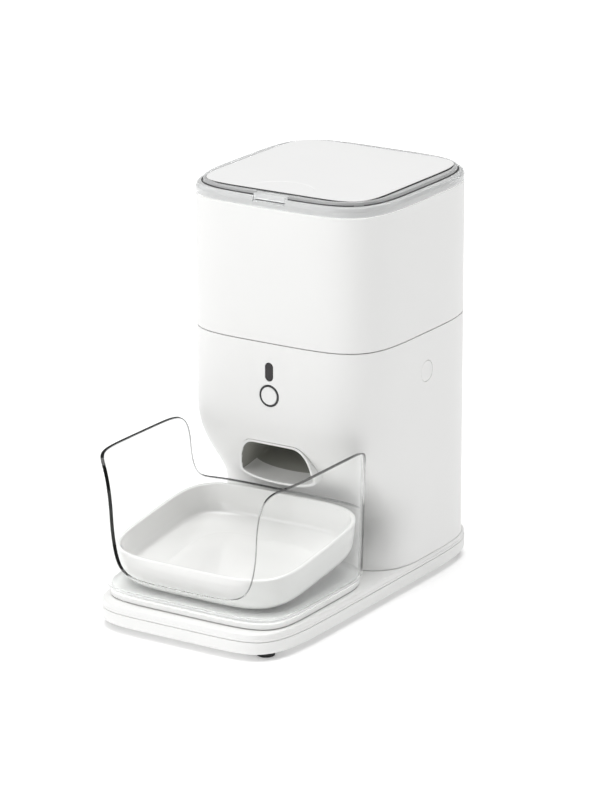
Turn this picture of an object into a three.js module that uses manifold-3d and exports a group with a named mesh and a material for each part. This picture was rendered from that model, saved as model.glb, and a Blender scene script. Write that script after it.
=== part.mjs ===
// Automatic pet feeder: a tower with a food hopper on a flat base, and a bowl in a clear guard before it.
// Millimetres, +Z up, -Y is the front. The origin is under the middle of the whole, where it stands.
import * as THREE from "three";
import { mergeVertices } from "three/addons/utils/BufferGeometryUtils.js";
import Module from "manifold-3d";

const wasm = await Module();
wasm.setup();

// ---- driving dimensions ----
const GAP = 0.3; // between pieces that touch
const WALL = 2.6;

const BASE = { halfWidth: 94.6, halfDepth: 170.9, power: 6.75, bottom: 6, seam: 17, deck: 24 };
const TOWER = { y: 69.9, halfWidth: 95, halfDepth: 97.73, power: 4.41, top: 225, hopperTop: 341 };
const GUARD = {
  y: -80.7, halfWidth: 90.4, front: 81.5, back: 80.9, power: 5.64, bottom: 30, wall: 2.4,
  sideFlare: 0.033, frontFlare: 0.021, lip: 46.5, rear: 88, top: 147, lipTurn: 70.6, rearTurn: 85.3,
};
const BOWL = { y: -80.5, z: 75.9, tilt: 7.9, halfWidth: 87, halfDepth: 77.6, power: 4.7, depth: 36 };
const ROTOR = {
  y: TOWER.y - 4, z: 168, radius: 34, halfLength: 28, blades: 6, hub: 13, bladeRoot: 2.2, bladeTip: 1,
};
const DRUM = { outer: ROTOR.radius + 4.2, inner: ROTOR.radius + 1.6, halfWidth: 26 };
const SHAFT_RADIUS = 3;
const BUSHING = { radius: 6, length: 3.6 };
const GEAR = {
  module: 1.5, wheelTeeth: 36, pinionTeeth: 12, x: 35.3, width: 6, backlash: 0.25, pressure: 20,
  dedendum: 1.25, addendum: 0.95, thinning: 0.1,
};
const MOTOR = { radius: 12.5, length: 32, shaft: 1.5, bossHole: 4, plate: 2 };
const OUTLET = { top: 136, bottom: 97, halfWidth: 37 };
const WINDOW = { z: 200, halfWidth: 3.85, halfHeight: 8 };
const BUTTON = { z: 179, radius: 7.8, ring: 9.5 };
const RELEASE = { y: TOWER.y + 1.6, z: 190.7, radius: 9.2, stem: 4 };
const LID = { bottom: TOWER.hopperTop + GAP, step: 350, rim: 353.2, plateTop: 353.8 };
const PLATE = { halfWidth: 82.6, halfDepth: 85, power: 7 };
const LATCH = { halfWidth: 16, depth: 9.6 };
const DESICCANT = { radius: 30, bottom: 332, top: 347.9, wall: 2, vent: 12 };
const HINGE = { y: TOWER.y + 101, z: 341.2, eye: 3, pin: 1.3, lidFrom: 33.6, lidTo: 49.2, hopperTo: 57 };
const FOOT = { x: 72, frontY: -145, rearY: 146, radius: 8 };
const REAR_PANEL = { halfWidth: 70, bottom: 40, top: 204, screwX: 58, screwZ: [48, 196] };
const SOCKET = { x: 45, z: 56, radius: 6, bore: 2.9 };
const DECK = { bottom: 207, top: 209.6 };
const THROAT = { outer: 27, inner: 25, bottom: 211.5, neck: 230, shoulder: 286, top: 292 };
const CELL = { halfLength: 30, halfWidth: 6, bottom: 8.4, top: 18.4, hole: 3.6, holeX: 9, postRadius: 10 };
const REST = { foot: 50, seat: 48, inside: 38, back: 5 };
const VENT = { spacing: 12, halfWidth: 1.5, bottom: 66, top: 96 };
const SPOUT = { halfWidth: 60, rear: 30 };
const PANEL_BOARD = { halfWidth: 34, thickness: 1.6, bottom: 170, top: 204, behind: 11 };
const BASE_SCREW = { x: 76, y: 80, head: 3.3, shank: 1.2 };
const REAR_SCREW = { head: 3.2, shank: 1.2 };

// Where the belly's front stands at each height: [height, distance from the tower's centre, corner power].
const BELLY = [
  [BASE.deck + GAP, 65, 3.5], [40, 54, 3.5], [55, 47, 3.5], [68, 44, 3.5], [79, 47.3, 3.5], [93, 60, 3.5],
  [106, 73.5, 3.6], [122, 86, 3.9], [137, 93.6, 4.2], [150, 96.8, 4.4], [163, TOWER.halfDepth, TOWER.power],
];

// ---- finishes ----
const finish = (color, roughness, metalness = 0) => ({ color, roughness, metalness });
const WHITE = finish(0xf3f3f1, 0.35);
const GLOSS_WHITE = finish(0xfafaf9, 0.12);
const CLEAR = finish(0xdfe3e4, 0.05);
const DARK = finish(0x3a3b3d, 0.4);
const BLACK = finish(0x0c0c0e, 0.15);
const RUBBER = finish(0x1d1d1e, 0.9);
const SILICONE = finish(0xd8d9d6, 0.7);
const STEEL = finish(0xb9bcc0, 0.3, 1);
const BRASS = finish(0xc7a252, 0.35, 1);
const BOARD = finish(0x1f6b3c, 0.5);
const NYLON = finish(0xe9e4d2, 0.5);

const feeder = new THREE.Group();

// ---- solids ----
function manifoldOf(geometry) {
  const plain = geometry.index ? geometry.toNonIndexed() : geometry.clone();
  const bare = new THREE.BufferGeometry().setAttribute("position", plain.getAttribute("position"));
  const merged = mergeVertices(bare, 1e-4);
  return new wasm.Manifold(
    new wasm.Mesh({
      numProp: 3,
      vertProperties: merged.attributes.position.array,
      triVerts: new Uint32Array(merged.index.array),
    }),
  );
}

function geometryOf(manifold) {
  const mesh = manifold.getMesh();
  const geometry = new THREE.BufferGeometry();
  geometry.setAttribute("position", new THREE.BufferAttribute(new Float32Array(mesh.vertProperties), 3));
  geometry.setIndex(new THREE.BufferAttribute(new Uint32Array(mesh.triVerts), 1));
  return geometry;
}

function add(name, shape, look, parent = feeder) {
  const geometry = shape.isBufferGeometry ? shape : geometryOf(shape);
  geometry.computeVertexNormals();
  const mesh = new THREE.Mesh(geometry, new THREE.MeshStandardMaterial(look));
  mesh.name = name;
  parent.add(mesh);
  return mesh;
}

const join = (...solids) => solids.reduce((whole, piece) => whole.add(piece));
const cut = (solid, ...tools) => tools.reduce((whole, tool) => whole.subtract(tool), solid);

// A closed solid through rings of points with equal counts, its two ends closed by fans.
function loft(rings) {
  const count = rings[0].length;
  const points = rings.flat();
  const middle = (ring) => ring.reduce((sum, p) => sum.add(p), new THREE.Vector3()).divideScalar(count);
  const first = points.length;
  const last = first + 1;
  points.push(middle(rings[0]), middle(rings[rings.length - 1]));
  const faces = [];
  const top = (rings.length - 1) * count;
  for (let i = 0; i < count; i++) {
    const j = (i + 1) % count;
    for (let k = 0; k < top; k += count) {
      faces.push(k + i, k + j, k + count + j, k + i, k + count + j, k + count + i);
    }
    faces.push(first, j, i, last, top + i, top + j);
  }
  const geometry = new THREE.BufferGeometry().setFromPoints(points);
  geometry.setIndex(faces);
  const solid = manifoldOf(geometry);
  if (solid.volume() > 0) return solid;
  geometry.setIndex(faces.reverse());
  return manifoldOf(geometry);
}

function box(low, high) {
  const size = high.map((h, i) => h - low[i]);
  const middle = high.map((h, i) => (h + low[i]) / 2);
  return manifoldOf(new THREE.BoxGeometry(...size).translate(...middle));
}

// A cylinder between two values along an axis, with its centre line at the other two coordinates.
function rod(axis, from, to, centre, radius, segments = 20, farRadius = radius) {
  const geometry = new THREE.CylinderGeometry(farRadius, radius, to - from, segments);
  if (axis === "x") geometry.rotateZ(-Math.PI / 2).translate((from + to) / 2, ...centre);
  if (axis === "y") geometry.translate(centre[0], (from + to) / 2, centre[1]);
  if (axis === "z") geometry.rotateX(Math.PI / 2).translate(...centre, (from + to) / 2);
  return manifoldOf(geometry);
}

// ---- outlines ----
const signedPower = (value, power) => Math.sign(value) * Math.abs(value) ** power;

// A squared round outline. Its front half may have a depth and a power of its own.
function squareRing({ halfWidth, front, back, power, frontPower = power, y, z, count = 36 }) {
  return Array.from({ length: count }, (_, i) => {
    const angle = (2 * Math.PI * (i + 0.5)) / count;
    const atFront = Math.sin(angle) < 0;
    const bend = 2 / (atFront ? frontPower : power);
    return new THREE.Vector3(
      halfWidth * signedPower(Math.cos(angle), bend),
      y + (atFront ? front : back) * signedPower(Math.sin(angle), bend),
      z,
    );
  });
}

function baseRing(z, inset = 0) {
  const halfDepth = BASE.halfDepth - inset;
  return squareRing({
    halfWidth: BASE.halfWidth - inset, front: halfDepth, back: halfDepth, power: BASE.power, y: 0, z,
  });
}

function towerRing(z, inset = 0) {
  const halfDepth = TOWER.halfDepth - inset;
  return squareRing({
    halfWidth: TOWER.halfWidth - inset, front: halfDepth, back: halfDepth, power: TOWER.power, y: TOWER.y, z,
  });
}

function bellyRing([z, front, frontPower], inset = 0) {
  return squareRing({
    halfWidth: TOWER.halfWidth - inset, front: front - inset, back: TOWER.halfDepth - inset,
    power: TOWER.power, frontPower, y: TOWER.y, z,
  });
}

const stack = (ring, levels) => loft(levels.map(([z, inset]) => ring(z, inset)));

// ---- base ----
function buildBase() {
  const { bottom, seam, deck } = BASE;
  const shell = cut(
    stack(baseRing, [[bottom, 1.4], [bottom + 2, 0], [seam, 0]]),
    stack(baseRing, [[bottom + 2, 4], [bottom + 4, WALL], [seam + 1, WALL]]),
  );
  const cover = cut(
    stack(baseRing, [[seam + 0.4, 0], [deck - 1.6, 0], [deck - 0.4, 0.6], [deck, 1.8]]),
    stack(baseRing, [[seam, WALL], [deck - 2.4, WALL]]),
    rod("z", deck - 4, deck + 1, [0, GUARD.y], 13),
    box([-40, TOWER.y - 25, deck - 4], [40, TOWER.y + 45, deck + 1]),
  );
  const bosses = [];
  const screwHoles = [];
  for (const [i, [sideX, sideY]] of [[-1, -1], [1, -1], [-1, 1], [1, 1]].entries()) {
    const [x, y] = [sideX * BASE_SCREW.x, sideY * BASE_SCREW.y];
    const post = rod("z", bottom + WALL, deck - 2, [x, y], 4, 16);
    bosses.push(cut(post, rod("z", bottom, deck - 4, [x, y], BASE_SCREW.shank + GAP, 12)));
    screwHoles.push(rod("z", bottom - 1, bottom + 5, [x, y], 3.9, 16));
    const head = rod("z", bottom + 0.4, bottom + 2, [x, y], BASE_SCREW.head, 16);
    const shank = rod("z", bottom + 2, deck - 5, [x, y], BASE_SCREW.shank, 10);
    add(`base_screw_${i + 1}`, join(head, shank), STEEL);
  }
  const wells = [];
  const feet = {
    front_left: [-1, FOOT.frontY], front_right: [1, FOOT.frontY],
    rear_left: [-1, FOOT.rearY], rear_right: [1, FOOT.rearY],
  };
  for (const [place, [side, y]] of Object.entries(feet)) {
    const centre = [side * FOOT.x, y];
    wells.push(rod("z", bottom - 1, bottom + 3, centre, 3.4, 12));
    const pad = rod("z", 0, 1, centre, FOOT.radius - 0.8, 16, FOOT.radius);
    const body = rod("z", 1, bottom - GAP, centre, FOOT.radius, 16);
    add(`foot_${place}`, join(pad, body, rod("z", 5, bottom + 3.5, centre, 3, 10)), RUBBER);
  }
  add("base_lower_shell", cut(shell, ...screwHoles, ...wells), WHITE);
  add("base_top_cover", join(cover, ...bosses), WHITE);
}

// ---- weighing platform under the guard ----
function platformRing(z, inset = 0) {
  return squareRing({
    halfWidth: GUARD.halfWidth - 2 - inset, front: GUARD.front - 2 - inset, back: GUARD.back - 2 - inset,
    power: GUARD.power, y: GUARD.y, z,
  });
}

function buildPlatform() {
  const low = BASE.deck + 0.8;
  const high = GUARD.bottom - GAP;
  const tray = cut(
    stack(platformRing, [[low, 0.6], [low + 0.6, 0], [high - 1, 0], [high, 1]]),
    stack(platformRing, [[low - 1, 3], [high - 2, 3]]),
  );
  const { halfLength, halfWidth, bottom, top, hole, holeX, postRadius } = CELL;
  add("weighing_platform", join(tray, rod("z", top + 0.4, high - 1, [0, GUARD.y], postRadius)), WHITE);
  const bar = box([-halfLength, GUARD.y - halfWidth, bottom], [halfLength, GUARD.y + halfWidth, top]);
  const slots = [-holeX, holeX].map((x) => {
    return rod("y", GUARD.y - halfWidth - 1, GUARD.y + halfWidth + 1, [x, (bottom + top) / 2], hole, 14);
  });
  add("load_cell", cut(bar, ...slots), STEEL);
}

// ---- guard: a clear tub with high sides, a low front lip and a low back ----
function guardEdge(x, atFront) {
  const turn = atFront ? GUARD.lipTurn : GUARD.rearTurn;
  const low = atFront ? GUARD.lip : GUARD.rear;
  const steepness = atFront ? 0.34 : 0.6;
  const climb = (across) => 1 + Math.tanh(steepness * signedPower(across - turn, 0.58));
  return low + ((GUARD.top - low) * climb(Math.abs(x))) / climb(GUARD.halfWidth);
}

function guardRing(height, inset) {
  const count = 88;
  const flat = squareRing({
    halfWidth: GUARD.halfWidth, front: GUARD.front, back: GUARD.back,
    power: GUARD.power, y: GUARD.y, z: 0, count,
  });
  return flat.map((p) => {
    const z = height === "edge" ? guardEdge(p.x, p.y < GUARD.y) : height;
    const rise = z - GUARD.bottom;
    const side = 1 + (GUARD.sideFlare * rise - inset) / GUARD.halfWidth;
    const frontGrowth = (GUARD.frontFlare * rise - inset) / GUARD.front;
    const depth = 1 + (p.y < GUARD.y ? frontGrowth : -inset / GUARD.back);
    return new THREE.Vector3(p.x * side, GUARD.y + (p.y - GUARD.y) * depth, z);
  });
}

function buildGuard() {
  const { bottom, wall } = GUARD;
  add(
    "bowl_guard",
    loft([
      guardRing(bottom, 4), guardRing(bottom + 1.2, 1.2), guardRing(bottom + 4, 0), guardRing("edge", 0),
      guardRing("edge", wall), guardRing(bottom + 5.5, wall), guardRing(bottom + wall, wall + 3.5),
    ]),
    CLEAR,
  );
}

// ---- bowl and its sloping rest ----
// The bowl's section: [share of the rim's size, height from the rim, corner power].
const BOWL_SECTION = [
  [0.5, -36, 3.6], [0.53, -33.4, 3.6], [0.74, -33.6, 4], [0.875, -32.6, 4.4], [0.935, -29.5, 4.6],
  [0.962, -24, 4.7], [0.985, -12, 4.7], [1, -1.6, 4.7], [0.987, 0, 4.7], [0.965, -0.5, 4.7], [0.95, -5, 4.7],
  [0.928, -17, 4.7], [0.9, -23.5, 4.7], [0.64, -29.8, 4.4], [0.3, -30.2, 4],
];

function buildBowl() {
  const placed = new THREE.Group();
  placed.position.set(0, BOWL.y, BOWL.z);
  placed.rotation.x = THREE.MathUtils.degToRad(BOWL.tilt);
  feeder.add(placed);
  const rings = BOWL_SECTION.map(([share, z, power]) => {
    const depth = BOWL.halfDepth * share;
    const halfWidth = BOWL.halfWidth * share;
    return squareRing({ halfWidth, front: depth, back: depth, power, y: 0, z, count: 40 });
  });
  add("food_bowl", loft(rings), GLOSS_WHITE, placed);
}

function restRing(halfWidth, onSlope) {
  const depth = halfWidth * (BOWL.halfDepth / BOWL.halfWidth);
  const slope = THREE.MathUtils.degToRad(BOWL.tilt);
  const y = BOWL.y + REST.back;
  const ring = squareRing({ halfWidth, front: depth, back: depth, power: 3.6, y, z: 0, count: 32 });
  const seat = BOWL.z - (BOWL.depth + 2 * GAP) / Math.cos(slope);
  const floor = GUARD.bottom + GUARD.wall + GAP;
  return ring.map((p) => p.setZ(onSlope ? seat + (p.y - BOWL.y) * Math.tan(slope) : floor));
}

function buildBowlRest() {
  const outer = loft([restRing(REST.foot, false), restRing(REST.seat, true)]);
  const through = [GUARD.bottom - 10, BOWL.z];
  const inner = loft(through.map((z) => restRing(REST.inside, false).map((p) => p.setZ(z))));
  add("bowl_rest", cut(outer, inner), WHITE);
}

// ---- outlet and chute ----
function outletOutline(grow = 0) {
  const { halfWidth: w, top, bottom } = OUTLET;
  const shape = new THREE.Shape();
  shape.moveTo(0, top);
  shape.lineTo(20, top);
  shape.bezierCurveTo(33, top, w, top - 16, w, top - 30);
  shape.bezierCurveTo(w, bottom + 5, 24, bottom, 0, bottom);
  shape.bezierCurveTo(-24, bottom, -w, bottom + 5, -w, top - 30);
  shape.bezierCurveTo(-w, top - 16, -33, top, -20, top);
  shape.lineTo(0, top);
  const middle = (top + bottom) / 2;
  const points = shape.getPoints(6).slice(0, -1);
  const wider = 1 + grow / w;
  const taller = 1 + (2 * grow) / (top - bottom);
  return points.map((p) => [p.x * wider, middle + (p.y - middle) * taller]);
}

// The chute's sections from the outlet inwards: [distance from the tower's centre, half width, bottom, top].
const CHUTE = [
  [-99, 37, 97, 136], [-83.5, 37, 97, 136], [-44, 36, 108, 131], [-24, 34, 113.5, 129.5], [24, 31, 122, 128.8],
];
// The spout's lip leans: its distance in front of the tower's centre at two heights.
const LIP = { top: { z: 140, out: 94.8 }, bottom: { z: 90, out: 81.7 } };

function chuteSolid(grow) {
  const { halfWidth, top, bottom } = OUTLET;
  const outline = outletOutline(grow);
  return loft(
    CHUTE.map(([y, w, low, high]) =>
      outline.map(([x, z]) => {
        const share = (z - bottom) / (top - bottom);
        return new THREE.Vector3((x * w) / halfWidth, TOWER.y + y, low + share * (high - low));
      }),
    ),
  );
}

function spoutBlock() {
  const { top, bottom } = LIP;
  const rear = TOWER.y + SPOUT.rear;
  const section = [
    [TOWER.y - bottom.out, bottom.z], [rear, bottom.z], [rear, top.z], [TOWER.y - top.out, top.z],
  ];
  const sides = [-SPOUT.halfWidth, SPOUT.halfWidth];
  return loft(sides.map((x) => section.map(([y, z]) => new THREE.Vector3(x, y, z))));
}

function buildChute() {
  const inner = chuteSolid(-2);
  const mouth = box([-27, ROTOR.y - 20, 112], [27, ROTOR.y + 18, 140]);
  const tube = cut(chuteSolid(0), inner, mouth);
  add("outlet_chute", tube.intersect(spoutBlock()), WHITE);
}

// ---- tower body ----
function buildTower() {
  const levels = [...BELLY, [TOWER.top - GAP, TOWER.halfDepth, TOWER.power]];
  const outside = loft(levels.map((level) => bellyRing(level)));
  const below = [BASE.deck - 1, BELLY[0][1], BELLY[0][2]];
  const above = [TOWER.top + 1, TOWER.halfDepth, TOWER.power];
  const inside = loft([below, ...BELLY, above].map((level) => bellyRing(level, WALL)));
  const wall = cut(outside, inside);

  const { halfWidth, bottom, top } = REAR_PANEL;
  const rearY = TOWER.y + TOWER.halfDepth;
  const panelHole = box([-halfWidth, rearY - 20, bottom], [halfWidth, rearY + 5, top]);
  const panelSize = box([GAP - halfWidth, rearY - 20, bottom + GAP], [halfWidth - GAP, rearY + 5, top - GAP]);

  const frontY = TOWER.y - TOWER.halfDepth;
  const side = TOWER.halfWidth;
  const body = cut(
    wall,
    panelHole,
    chuteSolid(GAP),
    pill(frontY - 2, frontY + 5, GAP),
    rod("y", frontY - 2, frontY + 5, [0, BUTTON.z], BUTTON.ring + GAP, 28),
    rod("x", -side - 2, -side + 5, [RELEASE.y, RELEASE.z], RELEASE.radius + GAP, 24),
    rod("x", side - 5, side + 2, [RELEASE.y, RELEASE.z], RELEASE.radius + GAP, 24),
  );
  add("main_body_shell", body, WHITE);

  const socketAt = [SOCKET.x, SOCKET.z];
  const screwAt = REAR_PANEL.screwZ.flatMap((z) => [[-REAR_PANEL.screwX, z], [REAR_PANEL.screwX, z]]);
  const holes = screwAt.map((at) => rod("y", rearY - 20, rearY + 5, at, 3.6, 14));
  const socketHole = rod("y", rearY - 20, rearY + 5, socketAt, SOCKET.radius + GAP, 20);
  const vents = [-2, -1, 0, 1, 2].map((step) => {
    const x = step * VENT.spacing;
    return box([x - VENT.halfWidth, rearY - 9, VENT.bottom], [x + VENT.halfWidth, rearY + 5, VENT.top]);
  });
  add("rear_cover", cut(wall.intersect(panelSize), socketHole, ...holes, ...vents), WHITE);
  for (const [i, at] of screwAt.entries()) {
    const head = rod("y", rearY - 6.4, rearY - 4.4, at, REAR_SCREW.head, 14);
    const shank = rod("y", rearY - 14, rearY - 6.4, at, REAR_SCREW.shank, 10);
    add(`rear_screw_${i + 1}`, join(head, shank), STEEL);
  }
  const barrel = cut(
    rod("y", rearY - 14, rearY - 1.2, socketAt, SOCKET.radius, 20),
    rod("y", rearY - 12, rearY, socketAt, SOCKET.bore, 20),
  );
  add("dc_socket", join(barrel, rod("y", rearY - 13, rearY - 3, socketAt, 1, 10)), BLACK);

  buildChute();
}

function pill(fromY, toY, grow) {
  const { z, halfWidth, halfHeight } = WINDOW;
  const end = halfHeight - halfWidth;
  const radius = halfWidth + grow;
  return join(
    rod("y", fromY, toY, [0, z + end], radius, 20),
    rod("y", fromY, toY, [0, z - end], radius, 20),
    box([-radius, fromY, z - end], [radius, toY, z + end]),
  );
}

function buildControls() {
  const frontY = TOWER.y - TOWER.halfDepth;
  add("sensor_window", pill(frontY - 0.2, frontY + 3.4, 0), BLACK);
  const ring = cut(
    rod("y", frontY - 0.3, frontY + 3.4, [0, BUTTON.z], BUTTON.ring, 28),
    rod("y", frontY - 2, frontY + 5, [0, BUTTON.z], BUTTON.radius + GAP, 28),
  );
  add("button_ring", ring, DARK);
  const cap = rod("y", frontY - 0.5, frontY + 4, [0, BUTTON.z], BUTTON.radius, 28);
  add("feed_button", join(cap, rod("y", frontY + 4, frontY + 8, [0, BUTTON.z], 2, 12)), WHITE);
  for (const [name, side] of [["left", -1], ["right", 1]]) {
    const along = (near, far) => (side < 0 ? [-far, -near] : [near, far]);
    const centre = [RELEASE.y, RELEASE.z];
    const disc = rod("x", ...along(TOWER.halfWidth - 5, TOWER.halfWidth - 0.1), centre, RELEASE.radius, 24);
    const stem = rod("x", ...along(TOWER.halfWidth - 12, TOWER.halfWidth - 5), centre, RELEASE.stem, 14);
    add(`release_button_${name}`, join(disc, stem), WHITE);
  }
  const { halfWidth, thickness, bottom, top, behind } = PANEL_BOARD;
  const boardY = frontY + behind;
  add("control_board", box([-halfWidth, boardY, bottom], [halfWidth, boardY + thickness, top]), BOARD);
}

// ---- dispenser: deck, housing, rotor and its drive ----
function buildDispenser() {
  const deck = cut(
    stack(towerRing, [[DECK.bottom, WALL + GAP], [DECK.top, WALL + GAP]]),
    box([-27, ROTOR.y - 25, 200], [27, ROTOR.y + 25, 215]),
    box([-36, TOWER.y - 110, 200], [36, TOWER.y - 80, 215]),
  );
  add("hopper_deck", deck, WHITE);

  const centre = [ROTOR.y, ROTOR.z];
  const length = ROTOR.halfLength + 1;
  const end = length + 2.5;
  const { halfWidth } = DRUM;
  const mouth = box([-halfWidth, ROTOR.y - 24, ROTOR.z + 15], [halfWidth, ROTOR.y + 24, ROTOR.z + 60]);
  const drop = box([-halfWidth, ROTOR.y - 19, ROTOR.z - 60], [halfWidth, ROTOR.y + 17, ROTOR.z - 15]);
  const drum = cut(
    rod("x", -end, end, centre, DRUM.outer, 32),
    rod("x", -length, length, centre, DRUM.inner, 32),
    rod("x", -end - 1, end + 1, centre, BUSHING.radius + GAP, 20),
    mouth,
    drop,
  );
  add("rotor_housing", drum, WHITE);
  for (const [name, side] of [["left", -1], ["right", 1]]) {
    const from = side < 0 ? -end - 1.5 : length + 0.4;
    const sleeve = rod("x", from, from + BUSHING.length, centre, BUSHING.radius, 20);
    const bore = rod("x", from - 1, from + BUSHING.length + 1.4, centre, SHAFT_RADIUS + GAP, 20);
    add(`rotor_bushing_${name}`, cut(sleeve, bore), BRASS);
  }

  add("dispensing_rotor", rotorSolid(), SILICONE);
  add("rotor_shaft", rod("x", -end - 3, GEAR.x + GEAR.width + 2, centre, SHAFT_RADIUS, 20), STEEL);
  const wheelBore = rod("z", -1, GEAR.width + 1, [0, 0], SHAFT_RADIUS + GAP, 20);
  add("rotor_gear", placeGear(gearSolid(GEAR.wheelTeeth, 0).subtract(wheelBore), ROTOR.y, ROTOR.z), NYLON);

  const spread = (GEAR.module * (GEAR.wheelTeeth + GEAR.pinionTeeth)) / 2 + GEAR.backlash;
  buildMotor(ROTOR.y, ROTOR.z - spread);
}

function rotorSolid() {
  const { blades, hub, radius: tip, bladeRoot, bladeTip } = ROTOR;
  const points = [];
  for (let i = 0; i < blades; i++) {
    const middle = (2 * Math.PI * i) / blades;
    const spot = (radius, offset) => {
      const along = new THREE.Vector2(Math.cos(middle), Math.sin(middle)).multiplyScalar(radius);
      return along.add(new THREE.Vector2(-Math.sin(middle), Math.cos(middle)).multiplyScalar(offset));
    };
    points.push(spot(hub, -bladeRoot), spot(tip, -bladeTip), spot(tip, bladeTip), spot(hub, bladeRoot));
  }
  const depth = 2 * ROTOR.halfLength;
  const geometry = new THREE.ExtrudeGeometry(new THREE.Shape(points), { depth, bevelEnabled: false });
  geometry.rotateX(Math.PI / 2).rotateZ(Math.PI / 2).translate(-ROTOR.halfLength, ROTOR.y, ROTOR.z);
  const reach = ROTOR.halfLength + 1;
  const bore = rod("x", -reach, reach, [ROTOR.y, ROTOR.z], SHAFT_RADIUS + GAP, 20);
  return manifoldOf(geometry).subtract(bore);
}

// An involute gear along +Z, its first tooth turned by the given share of a tooth.
function gearSolid(teeth, turn) {
  const pitch = (GEAR.module * teeth) / 2;
  const base = pitch * Math.cos(THREE.MathUtils.degToRad(GEAR.pressure));
  const root = pitch - GEAR.dedendum * GEAR.module;
  const tip = pitch + GEAR.addendum * GEAR.module;
  const roll = (radius) => {
    const angle = Math.acos(Math.min(1, base / radius));
    return Math.tan(angle) - angle;
  };
  const half = Math.PI / (2 * teeth) - GEAR.thinning / pitch + roll(pitch);
  const flank = [root, Math.max(base, root + 0.05), tip].map((radius) => [radius, half - roll(radius)]);
  const points = [];
  for (let i = 0; i < teeth; i++) {
    const middle = (2 * Math.PI * (i + turn)) / teeth;
    const spot = (radius, offset) => {
      return new THREE.Vector2(Math.cos(middle + offset), Math.sin(middle + offset)).multiplyScalar(radius);
    };
    for (const [radius, offset] of flank) points.push(spot(radius, -offset));
    for (const [radius, offset] of [...flank].reverse()) points.push(spot(radius, offset));
  }
  const depth = GEAR.width;
  return manifoldOf(new THREE.ExtrudeGeometry(new THREE.Shape(points), { depth, bevelEnabled: false }));
}

// Turns a gear made along +Z so that it lies along +X, with its first tooth towards +Z.
function placeGear(gear, y, z) {
  const geometry = geometryOf(gear);
  geometry.rotateZ(-Math.PI / 2).rotateX(Math.PI / 2).rotateZ(Math.PI / 2).translate(GEAR.x, y, z);
  return geometry;
}

function buildMotor(y, z) {
  const pinionBore = rod("z", -1, GEAR.width + 1, [0, 0], MOTOR.shaft + GAP, 14);
  const pinion = gearSolid(GEAR.pinionTeeth, 0.5).subtract(pinionBore);
  add("motor_pinion", placeGear(pinion, y, z), BRASS);
  const plate = GEAR.x + GEAR.width + 3;
  const behind = plate + MOTOR.plate;
  add("motor_shaft", rod("x", GEAR.x - 1, behind + 1, [y, z], MOTOR.shaft, 14), STEEL);
  const bracket = cut(
    box([plate, y - 20, z - 18], [behind, y + 20, ROTOR.z + 12]),
    rod("x", plate - 1, behind + 1, [y, z], MOTOR.bossHole, 16),
    rod("x", plate - 1, behind + 1, [ROTOR.y, ROTOR.z], MOTOR.bossHole, 16),
  );
  add("motor_bracket", bracket, STEEL);
  const can = cut(
    rod("x", behind + GAP, behind + MOTOR.length, [y, z], MOTOR.radius, 24),
    rod("x", plate, behind + 6, [y, z], MOTOR.shaft + GAP, 14),
  );
  add("drive_motor", can, STEEL);
}

// ---- hopper ----
function buildHopper() {
  const low = TOWER.top + 0.4;
  const high = TOWER.hopperTop;
  const shell = cut(
    stack(towerRing, [[low, 0], [high - 1.2, 0], [high, 0.5]]),
    stack(towerRing, [[low - 1, WALL], [high + 1, WALL]]),
  );
  const lugs = [-1, 1].map((side) => hingeLug(side, HINGE.lidTo + GAP, HINGE.hopperTo, true));
  add("hopper_shell", cut(join(shell, ...lugs), hingeBore()), WHITE);
  for (const [name, side] of [["left", -1], ["right", 1]]) {
    const ends = side < 0 ? [-HINGE.hopperTo, -HINGE.lidFrom] : [HINGE.lidFrom, HINGE.hopperTo];
    add(`hinge_pin_${name}`, rod("x", ...ends, [HINGE.y, HINGE.z], HINGE.pin, 12), STEEL);
  }

  const throat = (z, half) => {
    return squareRing({ halfWidth: half, front: half - 2, back: half - 2, power: 5, y: ROTOR.y, z });
  };
  const { bottom, neck, shoulder, top } = THROAT;
  const outer = loft([
    throat(bottom, THROAT.outer), throat(neck, THROAT.outer + 1),
    towerRing(shoulder, WALL + GAP), towerRing(top, WALL + GAP),
  ]);
  const inner = loft([
    throat(bottom - 0.5, THROAT.inner), throat(neck + 0.5, THROAT.inner + 1),
    towerRing(shoulder + 2, WALL + 2.4), towerRing(top + 1, WALL + 2.4),
  ]);
  add("hopper_funnel", cut(outer, inner), WHITE);
}

const hingeBore = () => rod("x", -60, 60, [HINGE.y, HINGE.z], HINGE.pin + GAP, 12);

// A hinge lug round the lid's axis, with a web back to the hopper's wall, or up to the lid's rim.
function hingeLug(side, near, far, onHopper) {
  const ends = side < 0 ? [-far, -near] : [near, far];
  const { y, z } = HINGE;
  const eye = rod("x", ...ends, [y, z], HINGE.eye, 16);
  const wallY = TOWER.y + TOWER.halfDepth - 3;
  const web = onHopper
    ? box([ends[0], wallY + 0.5, z - 12], [ends[1], y + 1, z - 0.6])
    : box([ends[0], wallY - 4, z + 0.6], [ends[1], y + 1, z + 2.8]);
  return join(eye, web);
}

// ---- lid ----
function plateRing(z, inset = 0) {
  const halfDepth = PLATE.halfDepth - inset;
  return squareRing({
    halfWidth: PLATE.halfWidth - inset, front: halfDepth, back: halfDepth, power: PLATE.power, y: TOWER.y, z,
  });
}

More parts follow.
